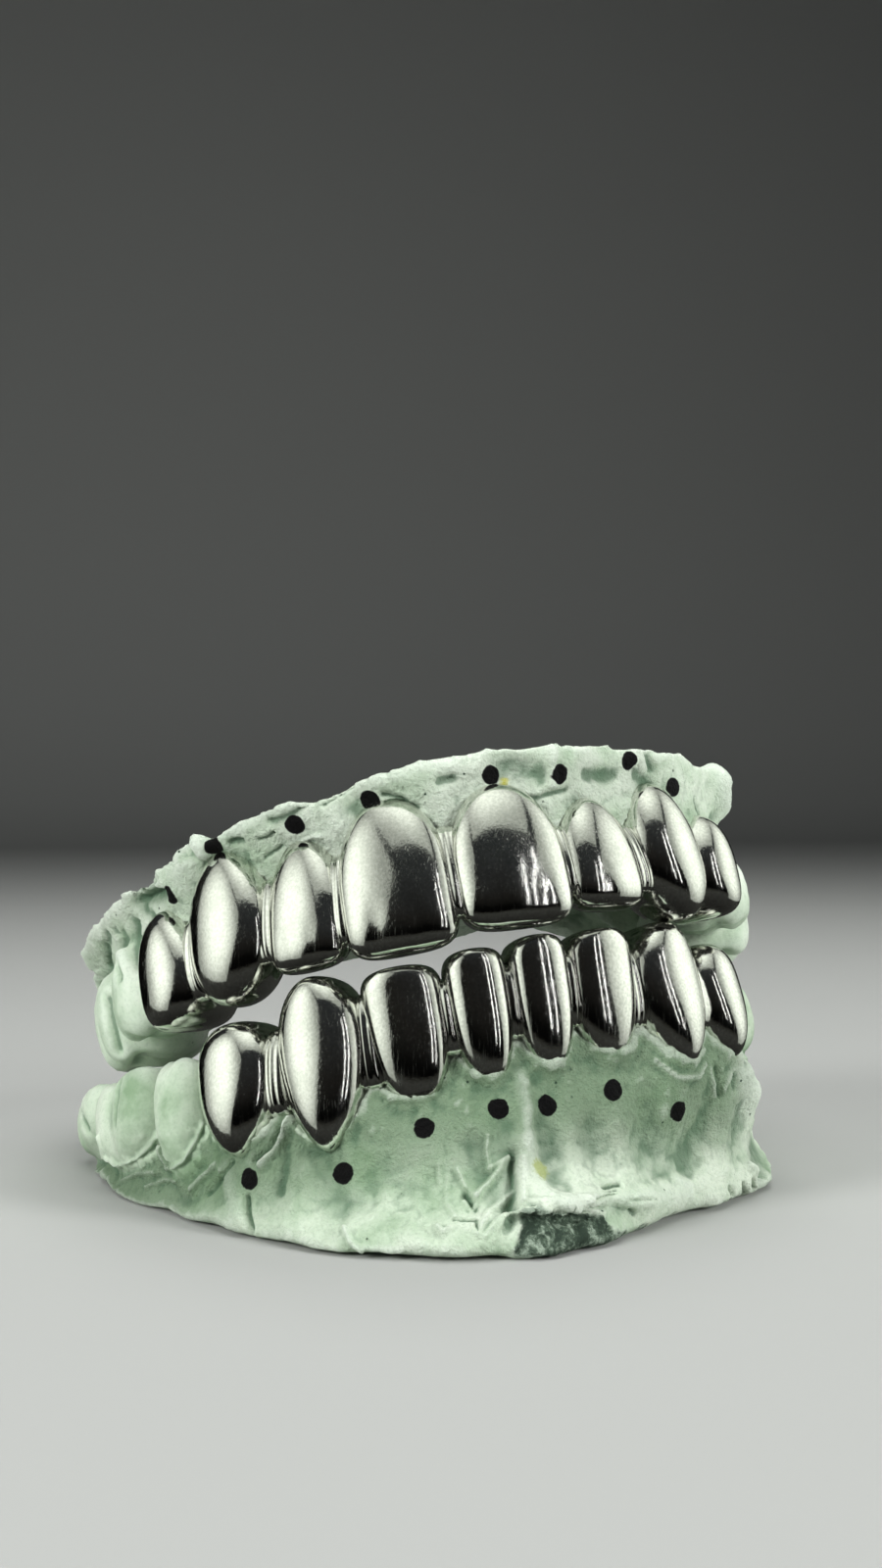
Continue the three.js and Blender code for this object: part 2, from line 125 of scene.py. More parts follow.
upper_rows = [
    ("molar", 9.5, 7.0, 0.8, 0.6, 3.6, 0.0),
    ("molar", 10.0, 7.5, 2.2, 0.6, 3.2, 0.0),
    ("bare_premolar", 7.0, 8.0, 1.2, 0.3, 2.2, 0.0),
    ("premolar", 7.4, 8.3, 1.3, -0.1, 1.4, 0.4),
    ("upper_canine", 8.3, 11.2, 1.0, -1.0, 1.0, 0.0),
    ("upper_lateral", 6.6, 10.4, -0.1, -1.9, 0.8, 0.0),
    ("upper_central", 8.8, 11.7, 0.3, -1.3, 0.8, 0.0),
    ("upper_central", 9.0, 11.45, -0.4, -1.1, 0.8, 0.0),
    ("upper_lateral", 6.8, 10.0, -1.3, -1.2, 0.8, 0.0),
    ("upper_canine", 7.2, 11.4, -0.5, -0.6, 0.8, 1.0),
    ("premolar", 6.3, 9.4, -1.2, 0.1, 1.4, 0.6),
    ("bare_premolar", 6.8, 8.2, -0.4, 0.2, 2.4, 0.0),
    ("molar", 10.0, 7.5, 1.2, 0.2, 2.4, 0.0),
    ("molar", 9.5, 7.0, 1.6, 0.2, 2.2, 0.0),
]
lower_rows = [
    ("molar", 10.6, 6.6, 0.4, 0.8, 2.2, 0.0),
    ("molar", 11.9, 9.4, -0.6, 0.8, 2.6, 0.0),
    ("bare_premolar", 5.9, 11.6, -1.4, 0.9, 2.4, 0.0),
    ("premolar", 7.3, 11.0, -1.0, 1.2, 2.8, 0.0),
    ("lower_canine", 7.1, 12.1, 0.7, 1.0, 4.0, 0.4),
    ("lower_incisor", 6.3, 9.9, 0.0, -0.4, 4.6, 0.0),
    ("lower_incisor", 4.9, 9.2, 0.4, -0.6, 3.6, 0.0),
    ("lower_incisor", 4.9, 8.8, 0.9, -0.8, 1.6, 0.0),
    ("lower_incisor", 5.9, 8.4, 1.1, -0.8, -0.6, 0.0),
    ("lower_canine", 7.2, 9.5, 1.8, 0.4, -2.0, -0.3),
    ("premolar", 6.4, 8.7, 0.7, 0.8, -1.0, 0.0),
    ("bare_premolar", 7.2, 8.2, -0.6, 0.6, 1.8, 0.0),
    ("molar", 10.8, 7.4, 0.2, 0.6, 3.2, 0.0),
    ("molar", 10.2, 6.4, 0.6, 0.6, 3.4, 0.0),
]
upper_teeth, lower_teeth = row_of_teeth(upper_rows), row_of_teeth(lower_rows)
print("caps:", sum(tooth.capped for tooth in upper_teeth + lower_teeth))

# %% [markdown]
# ## The arch
# Seen from above, teeth stand on a curve. Each side of it is a quarter of an ellipse that runs straight
# on behind. A place on a jaw is then three lengths: along the arch from its foremost point, out of it
# towards the lips, and high from the biting plane towards the gum. A spline would do too, but an ellipse
# needs two numbers.

# %% Places on a jaw
class Jaw:
    def __init__(self, name, teeth, left, right, middle, gum_side, at, turn):
        self.name = name
        self.gum_side = gum_side
        self.at = np.array(at)
        self.turn = turn_matrix(*turn)
        self.sides = {-1: quarter_ellipse(*left), 1: quarter_ellipse(*right)}
        self.teeth = teeth
        half = len(teeth) // 2
        widths = np.array([tooth.width for tooth in teeth])
        self.starts = middle - widths[:half].sum() + np.concatenate([[0], widths.cumsum()[:-1]])
        self.alongs = self.starts + widths / 2
        self.end = self.starts[-1] + widths[-1]

    def arch(self, along):
        """Points of the arch and its direction there, for an array of lengths along it."""
        far = np.abs(along)
        sides = []
        for side, (run, x, y, tx, ty) in self.sides.items():
            over = np.maximum(far - run[-1], 0)
            values = [side * np.interp(far, run, x), np.interp(far, run, y) + over]
            values += [np.interp(far, run, tx), side * np.interp(far, run, ty)]
            sides.append(values)
        return [np.where(np.asarray(along) < 0, left, right) for left, right in zip(*sides)]

    def place(self, along, sideways, out, high):
        x, y, tx, ty = self.arch(along)
        flat = [x + sideways * tx + out * ty, y + sideways * ty - out * tx]
        return np.stack(np.broadcast_arrays(*flat, self.gum_side * high), axis=-1)

    def world(self, points):
        return points @ self.turn.T + self.at

    def between(self, along, values):
        """A value of the teeth, eased from the middle of each tooth to the next one's."""
        values = np.asarray(values, float)
        i = np.clip(np.searchsorted(self.alongs, along) - 1, 0, len(values) - 2)
        share = np.clip((along - self.alongs[i]) / (self.alongs[i + 1] - self.alongs[i]), 0, 1)
        eased = share**2 * (3 - 2 * share)
        return values[i] * (1 - eased) + values[i + 1] * eased

    def column(self, name):
        return [getattr(tooth, name) for tooth in self.teeth]


def turn_matrix(yaw, roll, pitch):
    """Pitch about X, then roll about Y, then yaw about Z, in degrees."""
    a, b, c = np.radians([yaw, roll, pitch])
    about_z = np.array([[np.cos(a), -np.sin(a), 0], [np.sin(a), np.cos(a), 0], [0, 0, 1]])
    about_y = np.array([[np.cos(b), 0, np.sin(b)], [0, 1, 0], [-np.sin(b), 0, np.cos(b)]])
    about_x = np.array([[1, 0, 0], [0, np.cos(c), -np.sin(c)], [0, np.sin(c), np.cos(c)]])
    return about_z @ about_y @ about_x


def quarter_ellipse(width, depth, steps=400):
    angle = np.linspace(0, np.pi / 2, steps)
    x = width * np.sin(angle)
    y = depth * (1 - np.cos(angle))
    run = np.concatenate([[0], np.cumsum(np.hypot(np.diff(x), np.diff(y)))])
    tx, ty = width * np.cos(angle), depth * np.sin(angle)
    length = np.hypot(tx, ty)
    return run, x, y, tx / length, ty / length


upper = Jaw("upper", upper_teeth, (28.0, 36.5), (24.0, 26.8), -0.7, 1, (-3.2, -24.1, 22.1), (-9, -8, -16))
lower = Jaw("lower", lower_teeth, (27.5, 34.0), (23.6, 25.0), -0.3, -1, (0.0, -22.0, 20.8), (0, -5, -19))
print("arch lengths, mm:", [round(jaw.end - jaw.starts[0], 1) for jaw in (upper, lower)])

# %% [markdown]
# ## One crown
# A crown is an egg of cross-sections stacked from its biting edge to its gum end. Each section is a
# superellipse, squarer than an oval, and two curves say how it narrows towards either end: blunt at a
# cutting edge, pointed at a canine's tip. Inset by a wall, the same crown is the stone tooth inside the
# metal, so the cap fits its tooth whatever the form. Sculpting would look as good, but would not stay one
# wall thick.

# %% Crowns
cap_root = 0.5  # a capped crown runs on this far below the edge of the gum
end_crowding = 0.88  # 0 for even sections, near 1 for sections crowded towards both ends
gum_thin_flat, gum_thin_point = 2.5, 0.42  # how a crown thins from front to back towards the gum
tip_thin = 1.05  # and towards the tip, shared out by how straight its form is
rib_pitch = 0.62  # from one ridge of a solder bar to the next
# Shares of the half width and the depth: the valleys between cusps, and the grooves down the front.
valley_along, valley_across, corner_reach = 0.25, 0.22, 0.95
groove_width, lobe_at, lobe_width = 0.2, 0.38, 0.16


def fullness(share, flat, point):
    return np.clip(1 - share**flat, 0, 1) ** point


def smooth_step(value, low, high):
    t = np.clip((value - low) / (high - low), 0, 1)
    return t * t * (3 - 2 * t)


def bell(value, width):
    return np.exp(-((value / width) ** 2))


def crown(jaw, tooth, along, inset=0.0, sides=64, rings=40, ribs=0.0):
    """Vertices, in the jaw's own frame, and faces of one closed crown."""
    form = tooth.form if isinstance(tooth.form, Form) else forms[tooth.form]
    u = np.arange(1, rings) / rings
    turn = np.pi * (u - end_crowding * np.sin(2 * np.pi * u) / (2 * np.pi))
    share = np.abs(np.cos(turn))[:, None]
    to_tip = (turn < np.pi / 2)[:, None]
    tip, gum = -tooth.edge + inset, tooth.gum - inset + cap_root * tooth.capped
    belly = -tooth.edge + form.belly * (tooth.gum + tooth.edge)
    high = belly + share * np.where(to_tip, tip - belly, gum - belly)
    tip_full = fullness(share, form.tip_flat, form.tip_point)
    gum_full = fullness(share, form.gum_flat, form.gum_point)
    wide = np.where(to_tip, tip_full, gum_full)
    thin_flat = np.where(to_tip, form.straight, gum_thin_flat)
    deep = fullness(share, thin_flat, np.where(to_tip, tip_thin / form.straight, gum_thin_point))
    angle = (np.arange(sides) / sides * 2 * np.pi)[None, :]
    c, s = np.cos(angle), np.sin(angle)
    radius = (np.abs(c) ** form.square + np.abs(s) ** form.square) ** (-1 / form.square)
    depth = np.where(s > 0, form.front, form.back) - inset
    x, y = radius * c * wide, radius * s * deep
    high = high + np.zeros_like(x)
    near_tip = np.where(to_tip, smooth_step(share, 0.35, 0.95), 0)
    if form.cusps:
        valley = np.maximum(bell(y, valley_along), 0.9 * bell(x, valley_across))
        corners = 1 - np.clip(np.hypot(x / corner_reach, y / corner_reach), 0, 1) ** 3
        high = high + form.cusps * near_tip * (0.75 * valley * corners + 0.25 * corners)
        groove = bell(x, groove_width)
        fade = np.where(to_tip, 1 - share**6, 1 - share)
    else:
        groove = bell(np.abs(x) - lobe_at, lobe_width)
        fade = np.where(to_tip, smooth_step(share, 0, 0.5), 0)
    lobed = -form.lobes * groove * (s > 0) * fade
    to_gum = (high - tip) / (gum - tip)
    ribbed = ribs * np.cos(2 * np.pi * x * (tooth.width / 2) / rib_pitch) * (s > 0.3)
    out = tooth.out * to_gum + depth * y + lobed + ribbed
    sideways = (tooth.width / 2 - inset) * x + tooth.lean * (1 - to_gum)
    body = jaw.place(along, sideways, out, high).reshape(-1, 3)
    sunk = tip + form.cusps
    ends = [jaw.place(along, tooth.lean, 0.0, sunk), jaw.place(along, 0.0, tooth.out, gum)]
    points = np.concatenate([ends[0][None], body, ends[1][None]])
    return points, ring_faces(rings - 1, sides, poles=True, flip=jaw.gum_side > 0)


def ring_faces(rings, sides, poles, flip):
    faces = []
    at = (lambda r, s: 1 + r * sides + s % sides) if poles else (lambda r, s: r * sides + s % sides)
    for s in range(sides):
        if poles:
            faces.append((0, at(0, s + 1), at(0, s)))
            faces.append((rings * sides + 1, at(rings - 1, s), at(rings - 1, s + 1)))
        for r in range(rings - 1):
            faces.append((at(r, s), at(r, s + 1), at(r + 1, s + 1), at(r + 1, s)))
    return [f[::-1] for f in faces] if flip else faces


def new_object(name, jaw, points, faces):
    """A Blender object from points in a jaw's frame, moved to where the jaw stands."""
    mesh = bpy.data.meshes.new(name)
    mesh.from_pydata((jaw.world(points) + shift) * mm, [], faces)
    made = bpy.data.objects.new(name, mesh)
    bpy.context.scene.collection.objects.link(made)
    return made


# %% [markdown]
# ## Where the whole stands
# The part's origin is the middle of its box, at the table, so the jaws are shifted into it. The boxes of
# the two rows of smooth caps are then compared with the boxes of the plain solids that they stand for.

# %% The shift into the frame
shift = np.array([-0.25, 2.0, 0.0])


def capped_crowns(jaw, **shape):
    places = zip(jaw.teeth, jaw.alongs)
    return [crown(jaw, tooth, along, **shape) for tooth, along in places if tooth.capped]


for jaw in (upper, lower):
    points = np.concatenate([jaw.world(points) for points, _ in capped_crowns(jaw)]) + shift
    low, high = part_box(f"{jaw.name}_grillz")
    off_low, off_high = points.min(0) - np.array(low) / mm, points.max(0) - np.array(high) / mm
    print(jaw.name, "row off by, mm:", off_low.round(2), off_high.round(2))


# %% [markdown]
# ## The caps
# The technician fills the gap between two caps with a bar of solder, filed back so that it lies deeper
# than the caps and keeps a few lengthwise ridges from the file. Caps and bars are modelled as closed
# shells, joined with a Boolean and hollowed with another one, as CAD does it. Edges sharper than a set
# angle stay crisp, which draws the creases, and everything else is shaded smooth.

# %% Joining and hollowing
def boolean(target, tools, operation):
    group = bpy.data.collections.new("tools")
    for tool in tools:
        group.objects.link(tool)
    cut = target.modifiers.new("boolean", "BOOLEAN")
    cut.operation = operation
    cut.solver = "MANIFOLD"
    cut.operand_type = "COLLECTION"
    cut.collection = group
    apply_modifiers(target)
    for tool in tools:
        bpy.data.objects.remove(tool)
    bpy.data.collections.remove(group)


def apply_modifiers(target):
    seen = target.evaluated_get(bpy.context.evaluated_depsgraph_get())
    mesh = bpy.data.meshes.new_from_object(seen)
    target.modifiers.clear()
    mesh.materials.clear()
    target.data = mesh


# %% Caps and bars
cap_wall = 0.7
gum_gap = 0.15  # air between the metal and the gum
papilla = 3.6  # how far the gum rises between two teeth
bar_width = 2.1
bar_back = 2.6
bar_sunk = 0.42  # how much flatter than the caps a bar is, as a share
bar_tip_inset = 1.3
bar_gum_lap = 1.2
bar_ridge = 0.045
crease_angle = math.radians(38)


def solder_bar(jaw, i):
    a, b = jaw.teeth[i], jaw.teeth[i + 1]
    front = (1 - bar_sunk) * min(forms[a.form].front, forms[b.form].front)
    form = Form(front, bar_back, 0.5, 6, 0.2, 6, 0.2, 2.6, 0, 0, 2.5)
    gum = (a.gum + b.gum) / 2 - papilla + bar_gum_lap
    edge = min(a.edge, b.edge) - bar_tip_inset
    piece = Tooth(form, bar_width, gum, edge, (a.out + b.out) / 2, 0, (a.lean + b.lean) / 2, False)
    return crown(jaw, piece, jaw.starts[i + 1], ribs=bar_ridge, sides=72, rings=24)


def metal_row(jaw):
    capped = [i for i, tooth in enumerate(jaw.teeth) if tooth.capped]
    shells = capped_crowns(jaw) + [solder_bar(jaw, i) for i in capped[:-1]]
    row, *others = [new_object(f"{jaw.name}_row", jaw, *shell) for shell in shells]
    boolean(row, others, "UNION")
    hollows = capped_crowns(jaw, inset=cap_wall, sides=32, rings=20)
    hollows.append(gum_shell(jaw, gum_gap, stations=160, around=40, plain=True))
    boolean(row, [new_object("hollow", jaw, *shell) for shell in hollows], "DIFFERENCE")
    row.data.shade_smooth()
    row.data.set_sharp_from_angle(angle=crease_angle)
    return row


# %% [markdown]
# ## The gum
# The gum is one band swept round the arch. Its section runs from the ridge between the teeth down the
# outside to the base and back up the inside. A few rows per section say how far down and how far out each
# point lies, and a smooth curve through the rows gives the rest. Round each tooth the gum's edge swells
# to a low lip, and the cap runs on a little below it, so that no turned-in end of the metal shows.

# %% The gum's sections
# Outside: the share of the way down, how far towards the rim, and how far out. Inside: down, and inward.
upper_face = [(0, 0, -1.0), (0.05, 0, 0.1), (0.16, 0, 0.35), (0.5, 0.3, 0.45), (0.8, 0.8, 0.3), (1, 1, 0)]
lower_face = [(0, 0, -1.0), (0.04, 0, 0.1), (0.12, 0, 0.35), (0.34, 0.2, 0.4)]
lower_face += [(0.62, 0.6, -0.3), (0.92, 1, 0), (1, 1, -2.5)]
palate_face = [(1, 7.5), (0.66, 7.5), (0.4, 3.0), (0.12, 1.0), (0, -0.8)]
tongue_face = [(1, 3.2), (0.5, 2.0), (0.12, 1.0), (0, -0.8)]
upper_base = (13.9, 0.06, -0.05)  # height of the upper cast, and its change for each mm along X and Y
root_swell = 0.2  # how far the gum bulges over the root of each tooth
gum_lip = {"upper": 0.6, "lower": 1.15}  # how far the gum's edge swells round a tooth
lip_at, lip_width = 0.05, 0.06  # shares of the way down
cap_lap, bare_lap = 0.25, 0.12  # how far the gum laps onto a tooth, as a share of the papilla
scallop = 2.2  # how narrow the ridge between two teeth is
end_pad = 3.5  # gum behind the last molar


def base_high(jaw, x, y):
    """How far the base lies from the biting plane at a point of the jaw's own X and Y."""
    if jaw is upper:
        return upper_base[0] + upper_base[1] * x + upper_base[2] * y
    up = jaw.turn[2]
    return (jaw.at[2] + up[0] * x + up[1] * y) / up[2]


def eased_rows(rows, count):
    """Points on a smooth curve through rows of numbers, evenly spread along it."""
    rows = np.array(rows, float)
    t = np.linspace(0, len(rows) - 1, count)
    i = np.clip(t.astype(int), 0, len(rows) - 2)
    f = (t - i)[:, None]
    before, after = rows[np.maximum(i - 1, 0)], rows[np.minimum(i + 2, len(rows) - 1)]
    a, b = rows[i], rows[i + 1]
    pull_a, pull_b = (b - before) / 2, (after - a) / 2
    h = [2 * f**3 - 3 * f**2 + 1, f**3 - 2 * f**2 + f, -2 * f**3 + 3 * f**2, f**3 - f**2]
    return h[0] * a + h[1] * pull_a + h[2] * b + h[3] * pull_b


def gum_line(jaw, along):
    """How high the gum's edge lies, and 0 to 1 from the middle of the tooth there to its side."""
    index = np.clip(np.searchsorted(jaw.starts, along) - 1, 0, len(jaw.teeth) - 1)
    width = np.array(jaw.column("width"))[index]
    from_middle = np.clip(np.abs(2 * (along - jaw.alongs[index]) / width), 0, 1)
    lap = np.where(np.array(jaw.column("capped"))[index], cap_lap, bare_lap)
    line = jaw.between(along, jaw.column("gum")) - papilla * (lap + (1 - lap) * from_middle**scallop)
    return line, from_middle


def gum_shell(jaw, gap=0.0, stations=240, around=90, plain=False):
    along = np.linspace(jaw.starts[0] - end_pad, jaw.end + end_pad, stations)[:, None]
    face = eased_rows(upper_face if jaw is upper else lower_face, around * 2 // 3)
    inner = eased_rows(palate_face if jaw is upper else tongue_face, around // 3)
    line = jaw.between(along, jaw.column("out"))
    rim = jaw.between(along, jaw.column("rim"))
    back = jaw.between(along, [t.out - forms[t.form].back for t in jaw.teeth])
    ridge, from_middle = gum_line(jaw, along)
    swell = root_swell * np.cos(np.pi * from_middle)
    down_out, to_rim, out = face.T
    bulge = swell * np.sin(np.pi * np.clip(down_out, 0, 1))
    lip = gum_lip[jaw.name] * (1 - from_middle**2) * bell(down_out - lip_at, lip_width)
    outside = line + to_rim * (rim - line) + out + bulge + lip + gap
    if not plain:
        outside = outside + relief(jaw, along, down_out)
    down_in, inward = inner.T
    inside = back - inward - gap
    down = np.concatenate([down_out, down_in])[None, :] + 0 * along
    sideways_out = np.concatenate([outside, inside], axis=1)
    x, y, _ = np.moveaxis(jaw.place(along, 0.0, sideways_out, 0.0 * down), -1, 0)
    raised = np.where(down <= 1e-6, gap, 0.0)
    high = ridge - raised + down * (base_high(jaw, x, y) - ridge)
    if not plain:
        high = high + border(jaw, along, down)
    points = jaw.place(along, 0.0, sideways_out, high)
    count = points.shape[1]
    faces = ring_faces(stations, count, poles=False, flip=jaw.gum_side < 0)
    last = (stations - 1) * count
    ends = [tuple(range(count))[::-1], tuple(range(last, last + count))]
    faces += [e[::-1] for e in ends] if jaw.gum_side < 0 else ends
    return points.reshape(-1, 3), faces


# %% [markdown]
# ## The edge of the base
# The base was torn from its mould and trimmed by hand, so its edge rises and falls a little, and the gum
# above it has soft vertical folds. Sines give both: a slanted one for the folds, and a few of unlike
# length, with phases from a seed, for the edge and for the slow sway of the outside. In front, a piece of
# the lower base broke off: its edge steps up there, and the rough break runs down from it.

# %% Folds and edges
fold_pitch, fold_slant, fold_deep = 4.1, 1.1, 0.04  # the vertical folds of the gum
sway_scales, sway_deep = (23.0, 11.3), 0.35  # how its whole outside sways in and out
upper_scales, upper_wave = (31.0, 17.0, 9.3, 5.1), 0.4  # how the edge of each base rises and falls
lower_scales, lower_wave = (17.0, 7.0), 0.25
break_starts, break_ends = (-4.8, -3.4), (1.5, 12.0)  # along the arch
# How far the edge of the break steps up, its foot stands out and its upper end lies in.
break_rise, break_foot, break_ledge = 1.9, 2.6, 1.3


def waves(along, seed, scales):
    """A smooth irregular wave along the arch, from a few sines whose phases follow from a seed."""
    phases = np.random.default_rng(seed).uniform(0, 2 * np.pi, len(scales))
    sines = [np.sin(2 * np.pi * along / scale + phase) for scale, phase in zip(scales, phases)]
    return sum(sines) / len(scales)


def relief(jaw, along, down):
    """How far the outside of the gum stands out of its plain sweep."""
    fold = np.sin(2 * np.pi * (along / fold_pitch + fold_slant * down)) * bell(down - 0.5, 0.3)
    sway = waves(along, 11, sway_scales) * smooth_step(down, 0.2, 0.7)
    fracture = break_foot * smooth_step(down, 0.92, 1.0) - break_ledge * smooth_step(down, 0.89, 0.915)
    return fold_deep * fold + sway_deep * sway + broken(jaw, along) * fracture


def broken(jaw, along):
    """1 where a piece of the lower base broke off in front, just right of the middle, and 0 elsewhere."""
    if jaw is upper:
        return 0.0 * along
    return smooth_step(along, *break_starts) * (1 - smooth_step(along, *break_ends))


def border(jaw, along, down):
    """How the edge of the base rises and falls, as it was torn and trimmed."""
    at_edge = smooth_step(down, 0.55, 1.0)
    if jaw is upper:
        return upper_wave * at_edge * waves(along, 3, upper_scales)
    near_rim = smooth_step(down, 0.72, 0.89) * (1 - smooth_step(down, 0.92, 1.0))
    return -near_rim * (break_rise * broken(jaw, along) + lower_wave * waves(along, 5, lower_scales))


# %% [markdown]
# ## Marks in the stone
# A cast keeps all that the impression caught: the fold of skin that ties the lip to the gum, hollows
# beside it, wrinkles, a thin lip of stone round each tooth, dents and chips. Each mark is one row: its
# path as the pixels of the photograph that it runs through, how wide it is and how far it stands out, in
# millimetres. The path is carried onto the stone through the camera, and the points near it move along
# their normals.

# %% Marks
Mark = namedtuple("Mark", "pixels wide out")
upper_marks = {
    "crater": Mark([(139, 917), (158, 910)], 0.95, -1.5),
    "crater lip": Mark([(128, 916), (142, 906), (163, 902)], 0.30, 0.6),
    "crater foot": Mark([(142, 932), (156, 937)], 0.45, -0.5),
    "torn flake": Mark([(203, 861), (209, 872)], 0.55, 0.6),
    "flake shadow": Mark([(199, 872), (212, 878)], 0.40, -0.4),
    "bubble over the canine": Mark([(236, 860), (246, 858)], 0.35, -0.6),
    "step over the lateral": Mark([(278, 838), (292, 833), (304, 826)], 0.45, -0.6),
    "step edge": Mark([(284, 829), (300, 822)], 0.30, 0.35),
    "crease left of the centre": Mark([(331, 821), (343, 811), (358, 802)], 0.22, -0.45),
    "crease above the left central": Mark([(391, 811), (408, 814), (426, 824)], 0.22, -0.4),
    "left swelling": Mark([(330, 850), (352, 838)], 1.2, 0.35),
    "bubble left of the dot": Mark([(449, 797), (462, 794)], 0.35, -0.6),
    "hollow right of the dot": Mark([(516, 781), (553, 789)], 1.1, -0.55),
    "fold beside the hollow": Mark([(563, 764), (564, 800)], 0.45, 0.45),
    "groove over the right central": Mark([(517, 813), (531, 812), (546, 815), (577, 806)], 0.22, -0.4),
    "hollow over the right lateral": Mark([(600, 791), (612, 793), (628, 789)], 0.6, -0.4),
    "notch in the rim": Mark([(663, 768), (668, 784)], 0.45, -0.7),
    "fold over the right canine": Mark([(652, 790), (664, 800)], 0.6, -0.4),
    "lower pit behind": Mark([(750, 883), (748, 893)], 0.6, -0.5),
    "fold at the far left": Mark([(107, 955), (113, 985)], 0.6, -0.6),
    "root by the far left": Mark([(122, 960), (124, 990)], 0.7, 0.4),
    "fold by the left molar": Mark([(137, 945), (146, 985)], 0.7, -0.6),
    "canine root": Mark([(180, 900), (192, 870)], 1.3, 0.4),
    "between the molar's cusps": Mark([(109, 1018), (113, 1045), (120, 1072)], 0.42, -0.7),
    "pit over the molar": Mark([(118, 985), (121, 996)], 0.5, -0.9),
    "step in the rim at the left": Mark([(186, 876), (196, 869)], 0.30, -0.5),
    "notch in the rim over the lateral": Mark([(306, 823), (311, 820)], 0.30, -0.5),
    "pinholes": Mark([(264, 857), (272, 855), (278, 850)], 0.16, -0.3),
    "crease over the canine": Mark([(270, 876), (281, 868), (288, 863)], 0.16, -0.25),
    "crease over the lateral": Mark([(300, 862), (322, 851), (332, 851)], 0.20, 0.3),
    "fold at the right rim": Mark([(708, 815), (711, 833)], 0.3, -0.4),
    "swelling behind": Mark([(732, 800), (733, 850)], 1.5, 1.1),
}
